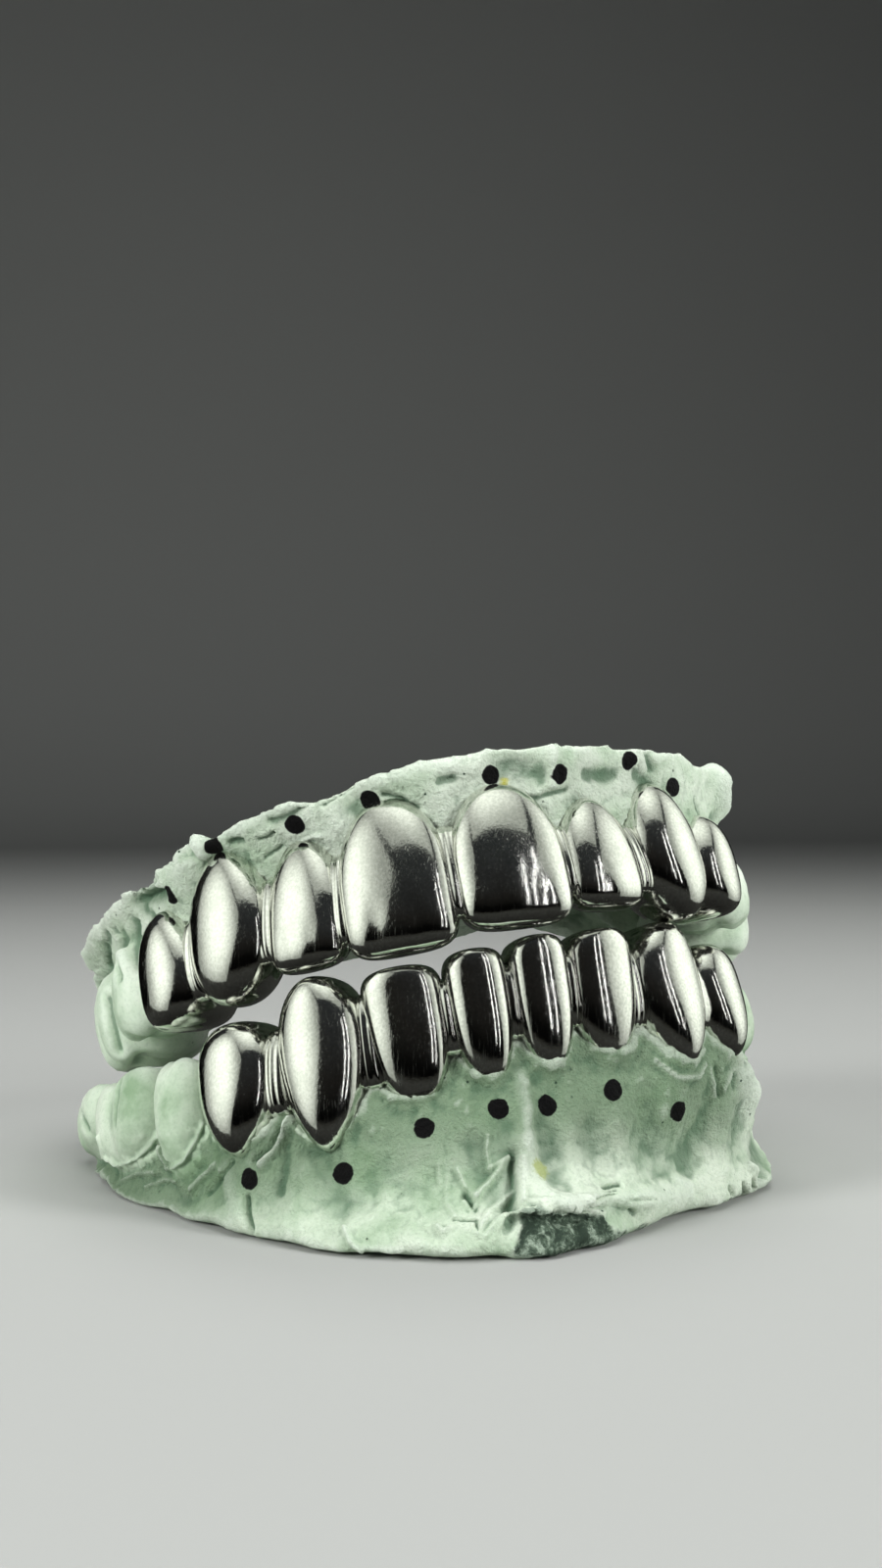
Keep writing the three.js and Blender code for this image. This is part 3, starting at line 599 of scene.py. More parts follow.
lower_marks = {
    "frenum": Mark([(531, 1096), (536, 1130), (541, 1165)], 0.7, 0.3),
    "frenum root": Mark([(541, 1165), (546, 1200)], 0.9, 0.25),
    "frenum step": Mark([(533, 1180), (533, 1226)], 0.30, 0.5),
    "frenum shadow": Mark([(524, 1176), (525, 1204), (521, 1228)], 0.55, -0.9),
    "left of the frenum": Mark([(513, 1150), (512, 1190), (508, 1225)], 1.2, -0.6),
    "fibre 1": Mark([(498, 1157), (496, 1172), (500, 1190)], 0.18, 0.3),
    "fibre 2": Mark([(500, 1190), (520, 1177)], 0.2, 0.4),
    "fibre 3": Mark([(521, 1177), (503, 1198), (486, 1219)], 0.26, 0.5),
    "fibre 4": Mark([(486, 1219), (475, 1209), (466, 1190)], 0.2, 0.35),
    "fibre 5": Mark([(487, 1258), (501, 1232), (524, 1209)], 0.24, 0.35),
    "fibre 6": Mark([(494, 1262), (512, 1238), (527, 1222)], 0.2, 0.25),
    "fibre 7": Mark([(456, 1196), (455, 1222), (466, 1243)], 0.2, 0.2),
    "fibre 8": Mark([(447, 1187), (448, 1203)], 0.18, 0.2),
    "knot": Mark([(474, 1222), (481, 1233), (484, 1226)], 0.18, 0.45),
    "pocket between the fibres": Mark([(482, 1165), (489, 1198)], 1.0, -0.6),
    "pocket below the fibres": Mark([(475, 1214), (482, 1230)], 0.4, -0.7),
    "hollow left of the fold": Mark([(385, 1203), (420, 1210), (455, 1206)], 3.0, -0.8),
    "hollow right of the fold": Mark([(575, 1170), (640, 1174), (700, 1170)], 3.0, -0.8),
    "flange right of the fold": Mark([(560, 1220), (620, 1228), (700, 1217)], 0.9, 0.45),
    "crease under the fibres": Mark([(463, 1243), (486, 1244), (488, 1255)], 0.14, -0.4),
    "crumbs": Mark([(446, 1250), (452, 1257), (459, 1252)], 0.25, 0.35),
    "edge of the chip": Mark([(533, 1226), (556, 1227), (590, 1231), (614, 1240)], 0.25, 0.3),
    "scratch right": Mark([(618, 1208), (636, 1207)], 0.15, -0.5),
    "scratch right lower": Mark([(620, 1213), (632, 1212)], 0.12, -0.4),
    "crease right": Mark([(593, 1230), (612, 1223), (630, 1216)], 0.13, -0.45),
    "crease right lower": Mark([(641, 1225), (668, 1224)], 0.13, -0.25),
    "short crease": Mark([(642, 1234), (647, 1240)], 0.12, -0.3),
    "lump right": Mark([(690, 1203), (703, 1208)], 0.5, 0.35),
    "torn edge right": Mark([(762, 1190), (770, 1194)], 0.45, 0.6),
    "foot of the end": Mark([(783, 1198), (784, 1206)], 1.0, -0.9),
    "notch of the tear 1": Mark([(768, 1205), (770, 1216)], 0.24, -0.8),
    "notch of the tear 2": Mark([(757, 1209), (759, 1219)], 0.24, -0.8),
    "notch of the tear 3": Mark([(745, 1213), (747, 1222)], 0.22, -0.7),
    "cheek of the end": Mark([(748, 1095), (757, 1115)], 1.7, 1.6),
    "waist of the end": Mark([(776, 1162), (779, 1184)], 1.8, -1.0),
    "wrinkle by the right premolar": Mark([(722, 1092), (728, 1118)], 0.3, 0.35),
    "groove by the right premolar": Mark([(731, 1090), (735, 1118)], 0.25, -0.5),
    "pocket by the right premolar": Mark([(745, 1098), (747, 1108)], 0.4, -0.5),
    "wrinkle 2": Mark([(744, 1092), (738, 1112)], 0.3, 0.35),
    "collar of the right canine": Mark([(667, 1083), (690, 1099), (710, 1098), (716, 1086)], 0.3, 0.45),
    "lip of the molar": Mark(
        [(101, 1160), (106, 1180), (123, 1188), (140, 1181), (152, 1169), (160, 1156)], 0.18, 0.3
    ),
    "lip of the premolar": Mark(
        [(160, 1156), (166, 1182), (174, 1192), (188, 1183), (200, 1163), (206, 1147)], 0.18, 0.3
    ),
    "groove of the lower molar": Mark([(121, 1104), (117, 1128), (116, 1148)], 0.35, -0.35),
    "chipped molar": Mark([(82, 1140), (88, 1152)], 0.40, -0.5),
    "wrinkle on the gum 1": Mark([(126, 1206), (142, 1197), (158, 1196)], 0.22, 0.3),
    "wrinkle on the gum 2": Mark([(150, 1212), (170, 1203), (182, 1205)], 0.22, 0.3),
    "wrinkle on the gum 3": Mark([(196, 1212), (208, 1200), (222, 1188)], 0.24, 0.35),
    "wrinkle on the gum 4": Mark([(212, 1218), (226, 1204), (238, 1186)], 0.24, -0.35),
    "fold under the left premolar": Mark([(296, 1145), (289, 1165), (268, 1189)], 0.28, 0.7),
    "gutter under the left premolar": Mark([(288, 1152), (279, 1172), (262, 1184)], 0.30, -0.6),
    "fold beside the dot": Mark([(292, 1170), (290, 1195), (287, 1215)], 0.5, -0.4),
    "crease in the base": Mark([(253, 1222), (254, 1240), (258, 1262)], 0.22, -0.6),
    "left of the crease": Mark([(232, 1195), (243, 1240)], 1.0, 0.35),
    "rib in the base": Mark([(351, 1252), (358, 1268), (369, 1276)], 0.25, 0.5),
    "rough rib": Mark([(372, 1273), (408, 1276)], 0.30, 0.4),
    "hollow under the canine": Mark([(330, 1195), (345, 1225)], 1.6, -0.5),
}
# These paths roughen the points and are painted dark. On the broken face the dark is partly the rough
# stone and partly painted shadow under the overhanging rim; below it, at its foot and under the edge to
# the right it is painted shadow.
break_and_shadow_marks = {
    "broken face": Mark([(541, 1240), (562, 1244), (590, 1247), (612, 1251)], 0.9, 1.0),
    "painted shadow below the broken face": Mark([(541, 1261), (565, 1264), (592, 1261)], 0.7, 1.0),
    "painted shadow at the foot of the break": Mark([(536, 1278), (565, 1280), (588, 1273), (612, 1264)], 0.95, 1.0),
    "thin painted shadow under the edge to the right": Mark([(612, 1266), (640, 1259), (662, 1251), (684, 1240)], 0.42, 1.0),
}
marks_on = {"upper": upper_marks, "lower": lower_marks}
print("marks:", {name: len(marks) for name, marks in marks_on.items()})

# %% From pixels to the stone
pixel_step = 1.4  # about 0.1 mm on the stone in front


def on_stone(tree, pixels):
    """Where the lines through a path of pixels meet the stone."""
    along_path = [np.array(pixels[0], float)]
    for a, b in zip(np.array(pixels, float), np.array(pixels[1:], float)):
        steps = max(int(np.linalg.norm(b - a) / pixel_step), 1)
        along_path += [a + (b - a) * (i + 1) / steps for i in range(steps)]
    hits = [tree.ray_cast(Vector(camera_at * mm), line_through(pixel))[0] for pixel in along_path]
    return [np.array(hit) / mm for hit in hits if hit is not None]


def carve(at, tree, marks):
    """How far each point moves out for all marks together."""
    move = np.zeros(len(at))
    missed = []
    for name, mark in marks.items():
        path = on_stone(tree, mark.pixels)
        if not path:
            missed.append(name)
            continue
        near = np.full(len(at), 1e6)
        box_low, box_high = np.min(path, axis=0) - 3 * mark.wide, np.max(path, axis=0) + 3 * mark.wide
        inside = np.all((at > box_low) & (at < box_high), axis=1)
        for point in path:
            near[inside] = np.minimum(near[inside], np.linalg.norm(at[inside] - point, axis=1))
        move += mark.out * bell(near, mark.wide)
    print("marks:", len(marks), "missed:", missed)
    return move


# %% [markdown]
# ## The casts
# Gum and teeth are poured in one go, so they are one body without seams. The overlapping shells are fused
# by a voxel remesh, which rebuilds the surface on a fine grid and leaves the small soft fillets that
# poured stone has. Near the narrow marks its faces are halved, because a crease needs smaller faces than
# the rest.

# %% Pouring a cast
seat_gap = 0.42  # air between a cap and the stone tooth in it
stone_spacing = 0.35  # bare stone teeth are this much smaller on every side than their place in the row
roof_inset = 5.5  # how far inside the back of the teeth the roof of the upper cast starts
voxels = {"upper": 0.36, "lower": 0.32}


def roof_shell(jaw, steps=40):
    """The plate between the two sides of the upper cast: flat on top, vaulted below."""
    along = np.linspace(jaw.starts[0] - end_pad, jaw.end + end_pad, steps)
    back = jaw.between(along, [t.out - forms[t.form].back for t in jaw.teeth]) - roof_inset
    ridge = jaw.between(along, jaw.column("gum")) - papilla
    rings = []
    for down in (palate_face[1][0], 1.0):
        flat = jaw.place(along, 0.0, back, 0.0)
        base = base_high(jaw, flat[:, 0], flat[:, 1])
        rings.append(jaw.place(along, 0.0, back, ridge + down * (base - ridge)))
    points = np.concatenate(rings)
    sides = [(i, (i + 1) % steps, steps + (i + 1) % steps, steps + i) for i in range(steps)]
    return points, [tuple(range(steps))[::-1], tuple(range(steps, 2 * steps)), *sides]


def fractal(points, size, seed, octaves=3):
    """Soft noise in -1..1 at points in millimetres, with features about size wide."""
    values = np.zeros(len(points))
    for octave in range(octaves):
        scale = 2**octave / size
        moved = points * scale + seed * 17.3
        values += np.array([noise.noise(Vector(p)) for p in moved]) / 2**octave
    return values


# %% Fusing and refining
def poured_cast(jaw, seed):
    shells = [gum_shell(jaw)]
    if jaw is upper:
        shells.append(roof_shell(jaw))
    for tooth, along in zip(jaw.teeth, jaw.alongs):
        inset = cap_wall + seat_gap if tooth.capped else stone_spacing
        shells.append(crown(jaw, tooth, along, inset=inset, sides=48, rings=30))
    points = np.concatenate([s[0] for s in shells])
    faces, start = [], 0
    for shell_points, shell_faces in shells:
        faces += [tuple(v + start for v in f) for f in shell_faces]
        start += len(shell_points)
    cast = new_object(f"{jaw.name}_stone_cast", jaw, points, faces)
    remesh = cast.modifiers.new("voxels", "REMESH")
    remesh.mode = "VOXEL"
    remesh.voxel_size = voxels[jaw.name] * mm
    apply_modifiers(cast)
    soften = cast.modifiers.new("soften", "SMOOTH")
    soften.factor = 0.5
    soften.iterations = 2
    apply_modifiers(cast)
    refine(cast, marks_on[jaw.name])
    weather(cast, jaw, seed)
    cast.data.shade_smooth()
    return cast


def refine(cast, marks, reach=0.9, finest=0.3):
    """Halves the faces near every narrow mark, so that the mesh can follow it."""
    tree = BVHTree.FromObject(cast, bpy.context.evaluated_depsgraph_get())
    paths = [on_stone(tree, mark.pixels) for mark in marks.values() if mark.wide < finest]
    points = [point for path in paths for point in path]
    finder = KDTree(len(points))
    for i, point in enumerate(points):
        finder.insert(Vector(point * mm), i)
    finder.balance()
    shape = bmesh.new()
    shape.from_mesh(cast.data)
    close = [face for face in shape.faces if finder.find(face.calc_center_median())[2] < reach * mm]
    edges = list({edge for face in close for edge in face.edges})
    bmesh.ops.subdivide_edges(shape, edges=edges, cuts=1, use_grid_fill=True)
    bmesh.ops.triangulate(shape, faces=[face for face in shape.faces if len(face.verts) > 4])
    shape.to_mesh(cast.data)
    shape.free()
    print(cast.name, "faces refined:", len(close))


# %% [markdown]
# ## Painted shade and wear
# Hollows are painted darker, as painted shade, and edges wear pale. Where they are is worked out from the
# shape: the mesh is smoothed in thought, and what lies below the smoothed surface is a hollow, what
# stands above it an edge.
# A few rounds of smoothing find the creases, and many find the broad folds. The number is stored at each
# point, where the material reads it, so no picture has to be painted.

# %% Hollows and edges
def read_points(items, key):
    flat = np.empty(len(items) * 3)
    items.foreach_get(key, flat)
    return flat.reshape(-1, 3)


def hollowness(mesh, at, normals, rounds):
    """How far, in mm, the smoothed surroundings of each point stand above it: more than 0 in a hollow."""
    ends = np.empty(len(mesh.edges) * 2, dtype=np.int32)
    mesh.edges.foreach_get("vertices", ends)
    a, b = ends.reshape(-1, 2).T
    to, source = np.concatenate([a, b]), np.concatenate([b, a])
    neighbours = np.bincount(to, minlength=len(at))
    mean = at.copy()
    for _ in range(rounds):
        total = [np.bincount(to, weights=mean[source, axis], minlength=len(at)) for axis in range(3)]
        mean = (mean + np.stack(total, axis=1)) / (neighbours + 1)[:, None]
    return ((mean - at) * normals).sum(axis=1)


def keep(mesh, name, values):
    """Stores a number at each point, for the material to read."""
    mesh.attributes.new(name, "FLOAT", "POINT").data.foreach_set("value", values)


# %% [markdown]
# ## The surface of the stone
# Each point of a fused cast moves a little along its normal, for broad unevenness, wrinkled skin, fine
# grain, the listed marks, crumbs on the gum by the caps and the rough break. Teeth get little of
# the first two, as enamel is smooth. A bump would shade all this, but only moved points change the
# outline too.

# %% Weathering
broad_mark = 2.0  # painted shade darkens marks narrower than this, and not the wide hollows beside the lip fold
smoothing_rounds = {"near_hollow": 6, "wide_hollow": 60}
# How deep each roughness goes and how wide its features are, in millimetres.
uneven_deep, uneven_size = 0.30, 6.0
wrinkle_deep, wrinkle_size = 0.22, 1.8
fine_deep, fine_size = 0.035, 0.7
crumb_deep, crumb_size = 0.22, 0.9
break_deep, break_size = 0.5, 1.1
tooth_share = 0.15  # how much of the unevenness and the wrinkles the teeth have
# Where crumbs and the painted shade under the caps set in and die out: heights from the biting plane,
# and a place along X.
crumbs_rise, crumbs_fall = (6.5, 8.5), (10.5, 13.0)
shade_under_caps_rise, shade_under_caps_fall, shade_under_caps_side = (5.0, 7.5), (11.0, 18.5), (17.0, 23.0)
shade_under_caps_share = {"upper": 0.3, "lower": 1.0}


def weather(cast, jaw, seed):
    """Moves the points of a cast for its roughness and marks, and stores what the material reads."""
    mesh = cast.data
    at = read_points(mesh.vertices, "co") / mm
    normals = read_points(mesh.vertex_normals, "vector")
    uneven = uneven_deep * fractal(at, uneven_size, seed)
    wrinkled = wrinkle_deep * np.abs(fractal(at, wrinkle_size, seed + 1))
    grain = fine_deep * fractal(at, fine_size, seed + 2, octaves=1)
    tree = BVHTree.FromObject(cast, bpy.context.evaluated_depsgraph_get())
    marks = marks_on[jaw.name]
    marked = carve(at, tree, marks)
    narrow = carve(at, tree, {name: mark for name, mark in marks.items() if mark.wide < broad_mark})
    local = (at - shift - jaw.at) @ jaw.turn
    high = jaw.gum_side * local[:, 2]
    along = np.linspace(jaw.starts[0] - end_pad, jaw.end + end_pad, 160)
    x, y, _, _ = jaw.arch(along)
    nearest = np.argmin((local[:, :1] - x) ** 2 + (local[:, 1:2] - y) ** 2, axis=1)
    on_gum = smooth_step(high - gum_line(jaw, along)[0][nearest], 0.0, 0.9)
    collar = smooth_step(high, *crumbs_rise) * (1 - smooth_step(high, *crumbs_fall))
    crumbs = crumb_deep * collar * np.maximum(fractal(at, crumb_size, seed + 3, octaves=2), 0)
    break_and_painted_shadow = 0.0 * high
    if jaw is lower:
        # The rough break, with painted shadow below it and under the edge to the right: these points are
        # roughened, and the material paints them dark.
        break_and_painted_shadow = smooth_step(carve(at, tree, break_and_shadow_marks), 0.35, 0.6) * (normals[:, 1] < -0.2)
    move = (uneven + wrinkled) * (tooth_share + (1 - tooth_share) * on_gum) + grain + marked + crumbs
    move = move + break_and_painted_shadow * break_deep * fractal(at, break_size, seed + 4)
    if jaw is lower:
        move = move * smooth_step(at[:, 2], 0.0, 0.8)
    at = at + normals * move[:, None]
    at[:, 2] = np.maximum(at[:, 2], 0.0)
    mesh.vertices.foreach_set("co", (at * mm).ravel())
    mesh.update()
    normals = read_points(mesh.vertex_normals, "vector")
    keep(mesh, "relief", narrow)
    keep(mesh, "break_and_painted_shadow", break_and_painted_shadow)
    keep(mesh, "gum", on_gum)
    # Painted shade: a band of gum just below the caps, in front, to be painted darker where the caps'
    # shade falls.
    below_caps = smooth_step(high, *shade_under_caps_rise) * (1 - smooth_step(high, *shade_under_caps_fall))
    in_front = 1 - smooth_step(local[:, 0], *shade_under_caps_side)
    keep(mesh, "painted_shade_under_caps", on_gum * below_caps * in_front * shade_under_caps_share[jaw.name])
    for name, rounds in smoothing_rounds.items():
        values = hollowness(mesh, at, normals, rounds)
        keep(mesh, name, values)
        print(cast.name, name, "mm:", np.percentile(values, [5, 25, 50, 75, 95]).round(3))


# %% [markdown]
# ## Four pieces
# Two rows and two casts, each an object of its own, as they come apart on the bench.

# %% Make the four pieces
rows = {jaw.name: metal_row(jaw) for jaw in (upper, lower)}
casts = {jaw.name: poured_cast(jaw, seed) for jaw, seed in ((upper, 2), (lower, 5))}
for piece in (*rows.values(), *casts.values()):
    print(piece.name, "faces:", len(piece.data.polygons))

# %% [markdown]
# ## Materials
# Colours are written as the sRGB hex values that a paint program shows. Blender mixes light linearly, so
# one function turns them. Another adds a node with its settings and links.

# %% Colours and nodes
def colour(hex_code):
    parts = [int(hex_code[i : i + 2], 16) / 255 for i in (1, 3, 5)]
    return (*[p / 12.92 if p <= 0.04045 else ((p + 0.055) / 1.055) ** 2.4 for p in parts], 1)


def add(tree, kind, settings=None, stops=(), **links):
    """Adds a node. Settings are its properties, and stops the places and colours of a ramp. Links are its
    inputs: a socket to follow, or a value."""
    made = tree.nodes.new(f"ShaderNode{kind}")
    for key, value in (settings or {}).items():
        setattr(made, key, value)
    for _ in stops[2:]:
        made.color_ramp.elements.new(0.5)
    for i, (place, shade) in enumerate(stops):
        made.color_ramp.elements[i].position = place
        made.color_ramp.elements[i].color = colour(shade)
    for key, value in links.items():
        socket = made.inputs[int(key[1:])] if key[1:].isdigit() else made.inputs[key.replace("_", " ")]
        if isinstance(value, bpy.types.NodeSocket):
            tree.links.new(value, socket)
        else:
            socket.default_value = value
    return made


def new_material(name):
    material = bpy.data.materials.new(name)
    material.use_nodes = True
    tree = material.node_tree
    return material, tree, tree.nodes["Principled BSDF"]


def per_mm(size):
    """The scale of a texture whose features are to be size millimetres wide."""
    return 1 / (size * mm)


times, times_plus = {"operation": "MULTIPLY"}, {"operation": "MULTIPLY_ADD"}
larger, smaller = {"operation": "MAXIMUM"}, {"operation": "MINIMUM"}
print("sRGB 50 % is, in linear light:", round(colour("#808080")[0], 3))

# %% [markdown]
# ## Buffed silver
# A buffing wheel leaves silver almost a mirror. It still has a faint orange peel, where the wheel ate the
# softer grains, and fine hairlines in the direction it was wiped. The peel is a bump a quarter of a
# millimetre wide, and the hairlines are noise stretched twenty-five times, laid in three directions. They
# are dips too, and where they lie the gloss is softer. A slow cloud of noise varies it over a whole cap.

# %% Silver
peel_size, cloud_size, hair_size = 0.24, 2.2, 0.13
hair_turns = [(0.2, 0.3, turn) for turn in (0.5, -0.9, 1.7)]
hair_stretch = (1.0, 1.0, 1 / 25)
silver_shades = [(0.66, "#dbdcd6"), (0.84, "#e5e5df"), (1.0, "#efefea")]


def buffed_silver():
    material, tree, skin = new_material("buffed_silver")
    at = add(tree, "TexCoord").outputs["Object"]
    peel = add(tree, "TexNoise", Vector=at, Scale=per_mm(peel_size), Detail=2.0).outputs["Fac"]
    cloud = add(tree, "TexNoise", Vector=at, Scale=per_mm(cloud_size), Detail=4.0).outputs["Fac"]
    hairs = None
    for turn in hair_turns:
        laid = add(tree, "Mapping", Vector=at, Rotation=turn, Scale=hair_stretch).outputs["Vector"]
        hair = add(tree, "TexNoise", Vector=laid, Scale=per_mm(hair_size), Detail=1.0).outputs["Fac"]
        hair = add(tree, "MapRange", _0=hair, _1=0.64, _2=0.72).outputs[0]
        hairs = add(tree, "Math", larger, _0=hairs, _1=hair).outputs[0] if hairs else hair
    patchy = add(tree, "Math", times, _0=hairs, _1=cloud).outputs[0]
    gloss = add(tree, "MapRange", _0=cloud, _1=0.35, _2=0.7, _3=0.07, _4=0.14).outputs[0]
    gloss = add(tree, "Math", times_plus, _0=patchy, _1=0.25, _2=gloss).outputs[0]
    tree.links.new(gloss, skin.inputs["Roughness"])
    height = add(tree, "Math", times_plus, _0=patchy, _1=-0.25, _2=peel).outputs[0]
    bump = add(tree, "Bump", Strength=0.09, Distance=0.05 * mm, Height=height)
    tree.links.new(bump.outputs["Normal"], skin.inputs["Normal"])
    bright = add(tree, "Math", times_plus, _0=cloud, _1=0.7, _2=peel).outputs[0]
    tint = add(tree, "ValToRGB", stops=silver_shades, Fac=bright).outputs["Color"]
    tree.links.new(tint, skin.inputs["Base Color"])
    skin.inputs["Metallic"].default_value = 1.0
    return material


# %% [markdown]
# ## Dental stone
# Dental stone is a hard gypsum, dyed green so that it can be told from plaster. Dry, it is matt and
# chalky, with pale worn edges and pinholes where air was trapped in the pour. Hollows, creases, the gum
# just under the caps and the pinholes are painted darker, as painted shade. The break in front is painted
# dark, partly as painted shadow under its rim. The upper cast is painted a paler green than the lower
# one, as painted light. The hollows and edges come from the numbers stored in the mesh, and the pinholes
# from the cells of a Voronoi texture. Teeth come out of the mould smooth and faintly shiny, the gum
# grainy and matt. The ink dots, one by each cap but the last lower one, are a technician's marker: a spot
# of a known radius round a known point.

# %% Stone
ink_radius = 0.78
dots = {
    "upper": {
        "left premolar": (173, 914),
        "left canine": (218, 863),
        "left lateral": (301, 842),
        "left central": (378, 816),
        "right central": (501, 791),
        "right lateral": (570, 790),
        "right canine": (643, 776),
        "right premolar": (687, 803),
    },
    "lower": {
        "left premolar": (254, 1203),
        "left canine": (350, 1197),
        "left lateral": (433, 1151),
        "left central": (508, 1131),
        "right central": (558, 1128),
        "right lateral": (626, 1112),
        "right canine": (692, 1134),
    },
}
stains = {"upper": ((515, 798), 0.45, "#b9b400"), "lower": ((552, 1193), 0.9, "#a8b46a")}
# Painted light: both casts are one stone, but the upper one is painted a paler green, for more light on
# its outside, which faces a little downward.
stone_shades = {"upper": ("#a2bb9d", "#c8dac2", "#e4eede"), "lower": ("#89a483", "#b6cab0", "#d8e4d1")}
shade_places = (0.34, 0.47, 0.62)
# Dark greens of the break, which also serve as painted shadow below it and under the edge to the right.
break_and_shadow_shades = [(0.64, "#323f35"), (0.74, "#526253"), (0.86, "#98a897")]
patch_size, fold_size, grain_size, pore_spacing, pore_patch = 8.0, 1.3, 0.30, 1.5, 3.5


def distance_to(tree, at, cast_tree, pixels):
    """How far, in millimetres, from the nearest of the points of the stone behind some pixels."""
    nearest = None
    for pixel in pixels:
        middle = cast_tree.ray_cast(Vector(camera_at * mm), line_through(pixel))[0]
        far = add(tree, "VectorMath", {"operation": "DISTANCE"}, _0=at, _1=middle).outputs["Value"]
        nearest = add(tree, "Math", smaller, _0=nearest, _1=far).outputs[0] if nearest else far
    return add(tree, "Math", times, _0=nearest, _1=1 / mm).outputs[0]


def dental_stone(jaw, cast):
    material, tree, skin = new_material(f"dental_stone_{jaw.name}")
    cast_tree = BVHTree.FromObject(cast, bpy.context.evaluated_depsgraph_get())
    at = add(tree, "TexCoord").outputs["Object"]
    stored = {}
    for name in ("relief", "break_and_painted_shadow", "gum", "painted_shade_under_caps", "near_hollow", "wide_hollow"):
        stored[name] = add(tree, "Attribute", {"attribute_name": name}).outputs["Fac"]
    patches = add(tree, "TexNoise", Vector=at, Scale=per_mm(patch_size), Detail=5.0, Roughness=0.6)
    grain = add(tree, "TexNoise", Vector=at, Scale=per_mm(grain_size), Detail=4.0, Roughness=0.65)
    folds = add(tree, "TexNoise", Vector=at, Scale=per_mm(fold_size), Detail=4.0, Roughness=0.6)
    folds.inputs["Distortion"].default_value = 0.8
    patches, grain, folds = [texture.outputs["Fac"] for texture in (patches, grain, folds)]
    # Painted shade under the caps, made patchy by noise.
    patchy_shade_under_caps = add(tree, "Math", times, _0=stored["painted_shade_under_caps"], _1=patches).outputs[0]
    break_and_shadow_speckle = add(tree, "Math", times_plus, _0=grain, _1=0.45, _2=folds).outputs[0]
    break_and_shadow_colour = add(tree, "ValToRGB", stops=break_and_shadow_shades, Fac=break_and_shadow_speckle).outputs["Color"]
    cells = add(tree, "TexVoronoi", Vector=at, Scale=per_mm(pore_spacing)).outputs["Distance"]
    pores = add(tree, "MapRange", _0=cells, _1=0.085, _2=0.05).outputs[0]
    chance = add(tree, "TexNoise", Vector=at, Scale=per_mm(pore_patch)).outputs["Fac"]
    chance = add(tree, "MapRange", _0=chance, _1=0.5, _2=0.6).outputs[0]
    pores = add(tree, "Math", times, _0=pores, _1=chance).outputs[0]
    stained_at, radius, stain = stains[jaw.name]
    from_stain = distance_to(tree, at, cast_tree, [stained_at])
    from_stain = add(tree, "Math", times_plus, _0=grain, _1=1.1, _2=from_stain).outputs[0]
    from_ink = distance_to(tree, at, cast_tree, dots[jaw.name].values())
    from_ink = add(tree, "Math", times_plus, _0=folds, _1=0.5, _2=from_ink).outputs[0]

    # Each layer: the number it follows, where it starts to show, where it is full, how much, its colour.
    layers = {
        # Painted shade: the gum just under the caps is painted a darker green.
        "painted_shade_under_caps": (patchy_shade_under_caps, 0.05, 0.6, 0.9, "#64805f"),
        # Painted shade: narrow carved marks are painted darker.
        "painted shade in marks": (stored["relief"], -0.1, -0.9, 0.55, "#45624a"),
        "worn marks": (stored["relief"], 0.1, 0.7, 0.55, "#dde8da"),
        # Painted shade: broad folds and hollows are painted darker.
        "painted shade in wide hollows": (stored["wide_hollow"], 0.045, 0.45, 0.6, "#55735a"),
        "worn broad edges": (stored["wide_hollow"], -0.4, -0.9, 0.35, "#e0eadc"),
        # Painted shade: creases and small hollows are painted darker.
        "painted shade in near hollows": (stored["near_hollow"], 0.011, 0.11, 0.6, "#55735a"),
        "worn sharp edges": (stored["near_hollow"], -0.05, -0.15, 0.35, "#e0eadc"),
        "specks": (grain, 0.5, 0.34, 0.18, "#6f8d72"),
        # The break is painted dark: partly the rough stone, partly painted shadow under the overhanging
        # rim and down to the table.
        "rough break and painted shadow": (stored["break_and_painted_shadow"], 0.0, 1.0, 1.0, break_and_shadow_colour),
        # Painted shade: the pinholes are painted dark, for the shade inside them.
        "pores": (pores, 0.0, 1.0, 1.0, "#3c5443"),
        "stain": (from_stain, radius + 0.6, radius + 0.2, 0.8, stain),
        "ink": (from_ink, ink_radius + 0.31, ink_radius + 0.23, 1.0, "#0b0a0c"),
    }
    shades = list(zip(shade_places, stone_shades[jaw.name]))
    body = add(tree, "ValToRGB", stops=shades, Fac=patches).outputs["Color"]
    masks = {}
    for name, (follows, starts, full, most, shade) in layers.items():
        masks[name] = add(tree, "MapRange", _0=follows, _1=starts, _2=full, _4=most).outputs[0]
        over = colour(shade) if isinstance(shade, str) else shade
        body = add(tree, "Mix", {"data_type": "RGBA"}, _0=masks[name], _6=body, _7=over).outputs[2]
    tree.links.new(body, skin.inputs["Base Color"])

    matt = add(tree, "MapRange", _0=stored["gum"], _3=0.5, _4=0.82).outputs[0]
    tree.links.new(matt, skin.inputs["Roughness"])
    skin.inputs["Specular IOR Level"].default_value = 0.35
    coarse = add(tree, "MapRange", _0=masks["painted_shade_under_caps"], _2=0.5, _3=1.0, _4=2.6).outputs[0]
    fine = add(tree, "Math", times, _0=grain, _1=coarse).outputs[0]
    for mask, height in ((folds, 2.0), (pores, -1.5)):
        fine = add(tree, "Math", times_plus, _0=mask, _1=height, _2=fine).outputs[0]
    strength = add(tree, "MapRange", _0=stored["gum"], _3=0.2, _4=0.9).outputs[0]
    bump = add(tree, "Bump", Strength=strength, Distance=0.2 * mm, Height=fine)
    tree.links.new(bump.outputs["Normal"], skin.inputs["Normal"])
    return material


# %% [markdown]
# ## Dressing the pieces
# Each piece gets its material, takes the place of its plain solid, and rides on the part's one body.

# %% Dress the pieces
silver = buffed_silver()
for jaw in (upper, lower):
    row, cast = rows[jaw.name], casts[jaw.name]
    row.data.materials.append(silver)
    cast.data.materials.append(dental_stone(jaw, cast))
    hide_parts(f"{jaw.name}_grillz")
    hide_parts(f"{jaw.name}_cast")
    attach(row, "root")
    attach(cast, "root")
    for piece in (row, cast):
        material = piece.data.materials[0]
        print(piece.name, "is of", material.name, "with", len(material.node_tree.nodes), "nodes")

